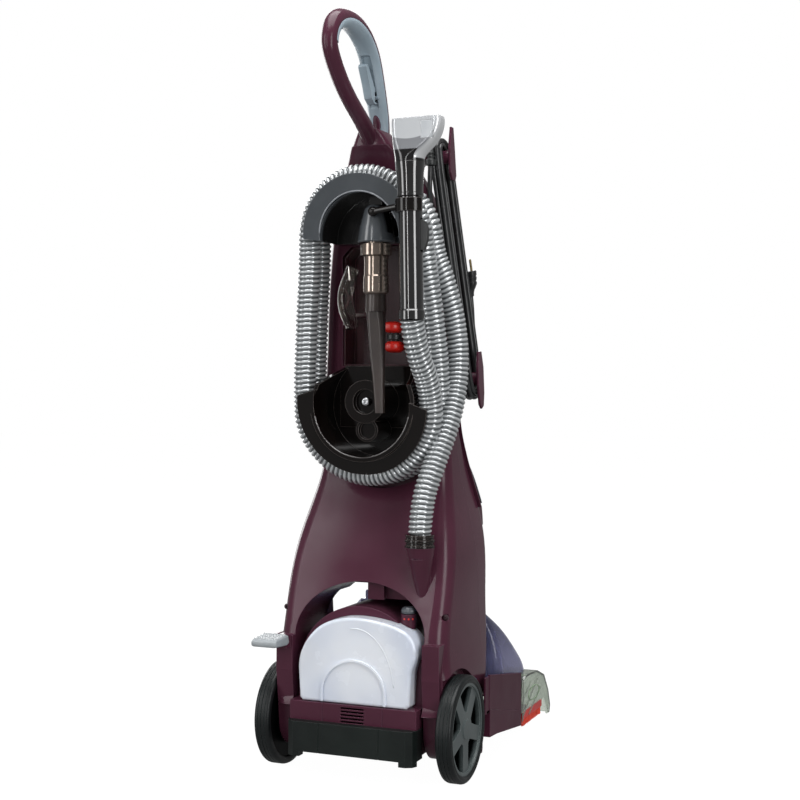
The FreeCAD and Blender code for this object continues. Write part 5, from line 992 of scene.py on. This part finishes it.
# ------------------------------------------------------------------ the clear nozzle: moulded ribs and a port ring on its ends
parts, ringp = [], []
for sx in (1, -1):
    xo = 150.05 * sx
    for (y0, z0), (y1, z1), h in (((270, 38), (348, 84), 1.2), ((264, 60), (312, 86), 0.9), ((300, 34), (368, 66), 0.9),
                                  ((266, 30), (270, 92), 1.6)):
        a_, b_ = P(xo, y0, z0), P(xo, y1, z1)
        d = (b_ - a_)
        ln = d.length
        d.normalize()
        parts.append(block((a_ + b_) / 2, d, Vector((1, 0, 0)), d.cross(Vector((1, 0, 0))), ln / 2, 0.0005, h / 1000.0))
    loop = [P(xo, 328 + 30 * math.cos(2 * math.pi * k / 48), 64 + 11 * math.sin(2 * math.pi * k / 48)) for k in range(49)]
    ringp.append(sweep(loop, 8, lambda i, t: 0.0009 if 0 < i < 48 else 0.00089, False))
vv, ff = merge(ringp)
add_mesh("nozzle_port_ring", vv, ff, "nozzle_ring", "base")
vv, ff = merge(parts)
add_mesh("nozzle_ribs", vv, ff, "nozzle_rib", "base", True, 30)

# ------------------------------------------------------------------ studio
def area(name, loc, look, sx, sy, power, color=(1, 1, 1)):
    l = bpy.data.lights.new(name, "AREA")
    l.shape = "RECTANGLE"
    l.size, l.size_y = sx, sy
    l.energy = power
    l.color = color
    o = bpy.data.objects.new(name, l)
    bpy.context.scene.collection.objects.link(o)
    d = Vector(look) - Vector(loc)
    o.matrix_world = Matrix.Translation(Vector(loc)) @ d.to_track_quat("-Z", "Y").to_matrix().to_4x4()
    return o


area("soft_left", (-1.9, -2.0, 1.1), (0, -0.1, 0.55), 0.8, 2.4, 26)
area("soft_right", (2.2, -1.5, 1.0), (0, -0.1, 0.5), 0.8, 2.4, 36)
area("soft_back", (-1.1, 2.2, 1.5), (0, 0, 0.5), 1.0, 2.0, 24)
area("strip_rear", (-0.35, -2.6, 0.9), (0.08, -0.2, 0.7), 0.16, 2.2, 12)
area("soft_front_left", (-2.2, 1.2, 1.2), (0, 0, 0.5), 0.8, 2.0, 22)
area("soft_top", (0.2, -0.4, 2.9), (0, -0.1, 0), 2.2, 2.2, 88)

w = bpy.data.worlds.new("studio")
w.use_nodes = True
nt = w.node_tree
nt.nodes.clear()
wo = nt.nodes.new("ShaderNodeOutputWorld")
lp = nt.nodes.new("ShaderNodeLightPath")
white = nt.nodes.new("ShaderNodeBackground")
white.inputs[0].default_value = (1, 1, 1, 1)
white.inputs[1].default_value = 1.0
fill = nt.nodes.new("ShaderNodeBackground")
fill.inputs[0].default_value = (1, 1, 1, 1)
fill.inputs[1].default_value = 0.26
mx = nt.nodes.new("ShaderNodeMixShader")
vis = math_node(nt, "MAXIMUM", lp.outputs["Is Camera Ray"], lp.outputs["Is Transmission Ray"])
nt.links.new(vis, mx.inputs[0])
nt.links.new(fill.outputs[0], mx.inputs[1])
nt.links.new(white.outputs[0], mx.inputs[2])
nt.links.new(mx.outputs[0], wo.inputs[0])
bpy.context.scene.world = w

fm, nt, b = new_mat("studio_floor")
nt.links.new(mixc(nt, remap(nt, noise(nt, 1.5, 2.0), 0.3, 0.7, 0.0, 1.0), (0.055, 0.055, 0.055, 1), (0.065, 0.065, 0.065, 1)),
             b.inputs["Base Color"])
b.inputs["Roughness"].default_value = 0.9
b.inputs["Specular IOR Level"].default_value = 0.0
b.inputs["Emission Color"].default_value = (1, 1, 1, 1)
lpf = nt.nodes.new("ShaderNodeLightPath")
seen = math_node(nt, "MAXIMUM", lpf.outputs["Is Camera Ray"], lpf.outputs["Is Transmission Ray"])
nt.links.new(remap(nt, seen, 0.0, 1.0, 0.22, 0.985), b.inputs["Emission Strength"])
me = bpy.data.meshes.new("studio_floor")
R = 14.0
ring = [(R * math.cos(2 * math.pi * k / 96), R * math.sin(2 * math.pi * k / 96), -0.0006) for k in range(96)]
me.from_pydata(ring, [], [tuple(range(96))])
floor = bpy.data.objects.new("studio_floor", me)
bpy.context.scene.collection.objects.link(floor)
me.materials.append(fm)

bpy.context.scene.view_settings.view_transform = "Standard"
bpy.context.scene.view_settings.look = "None"
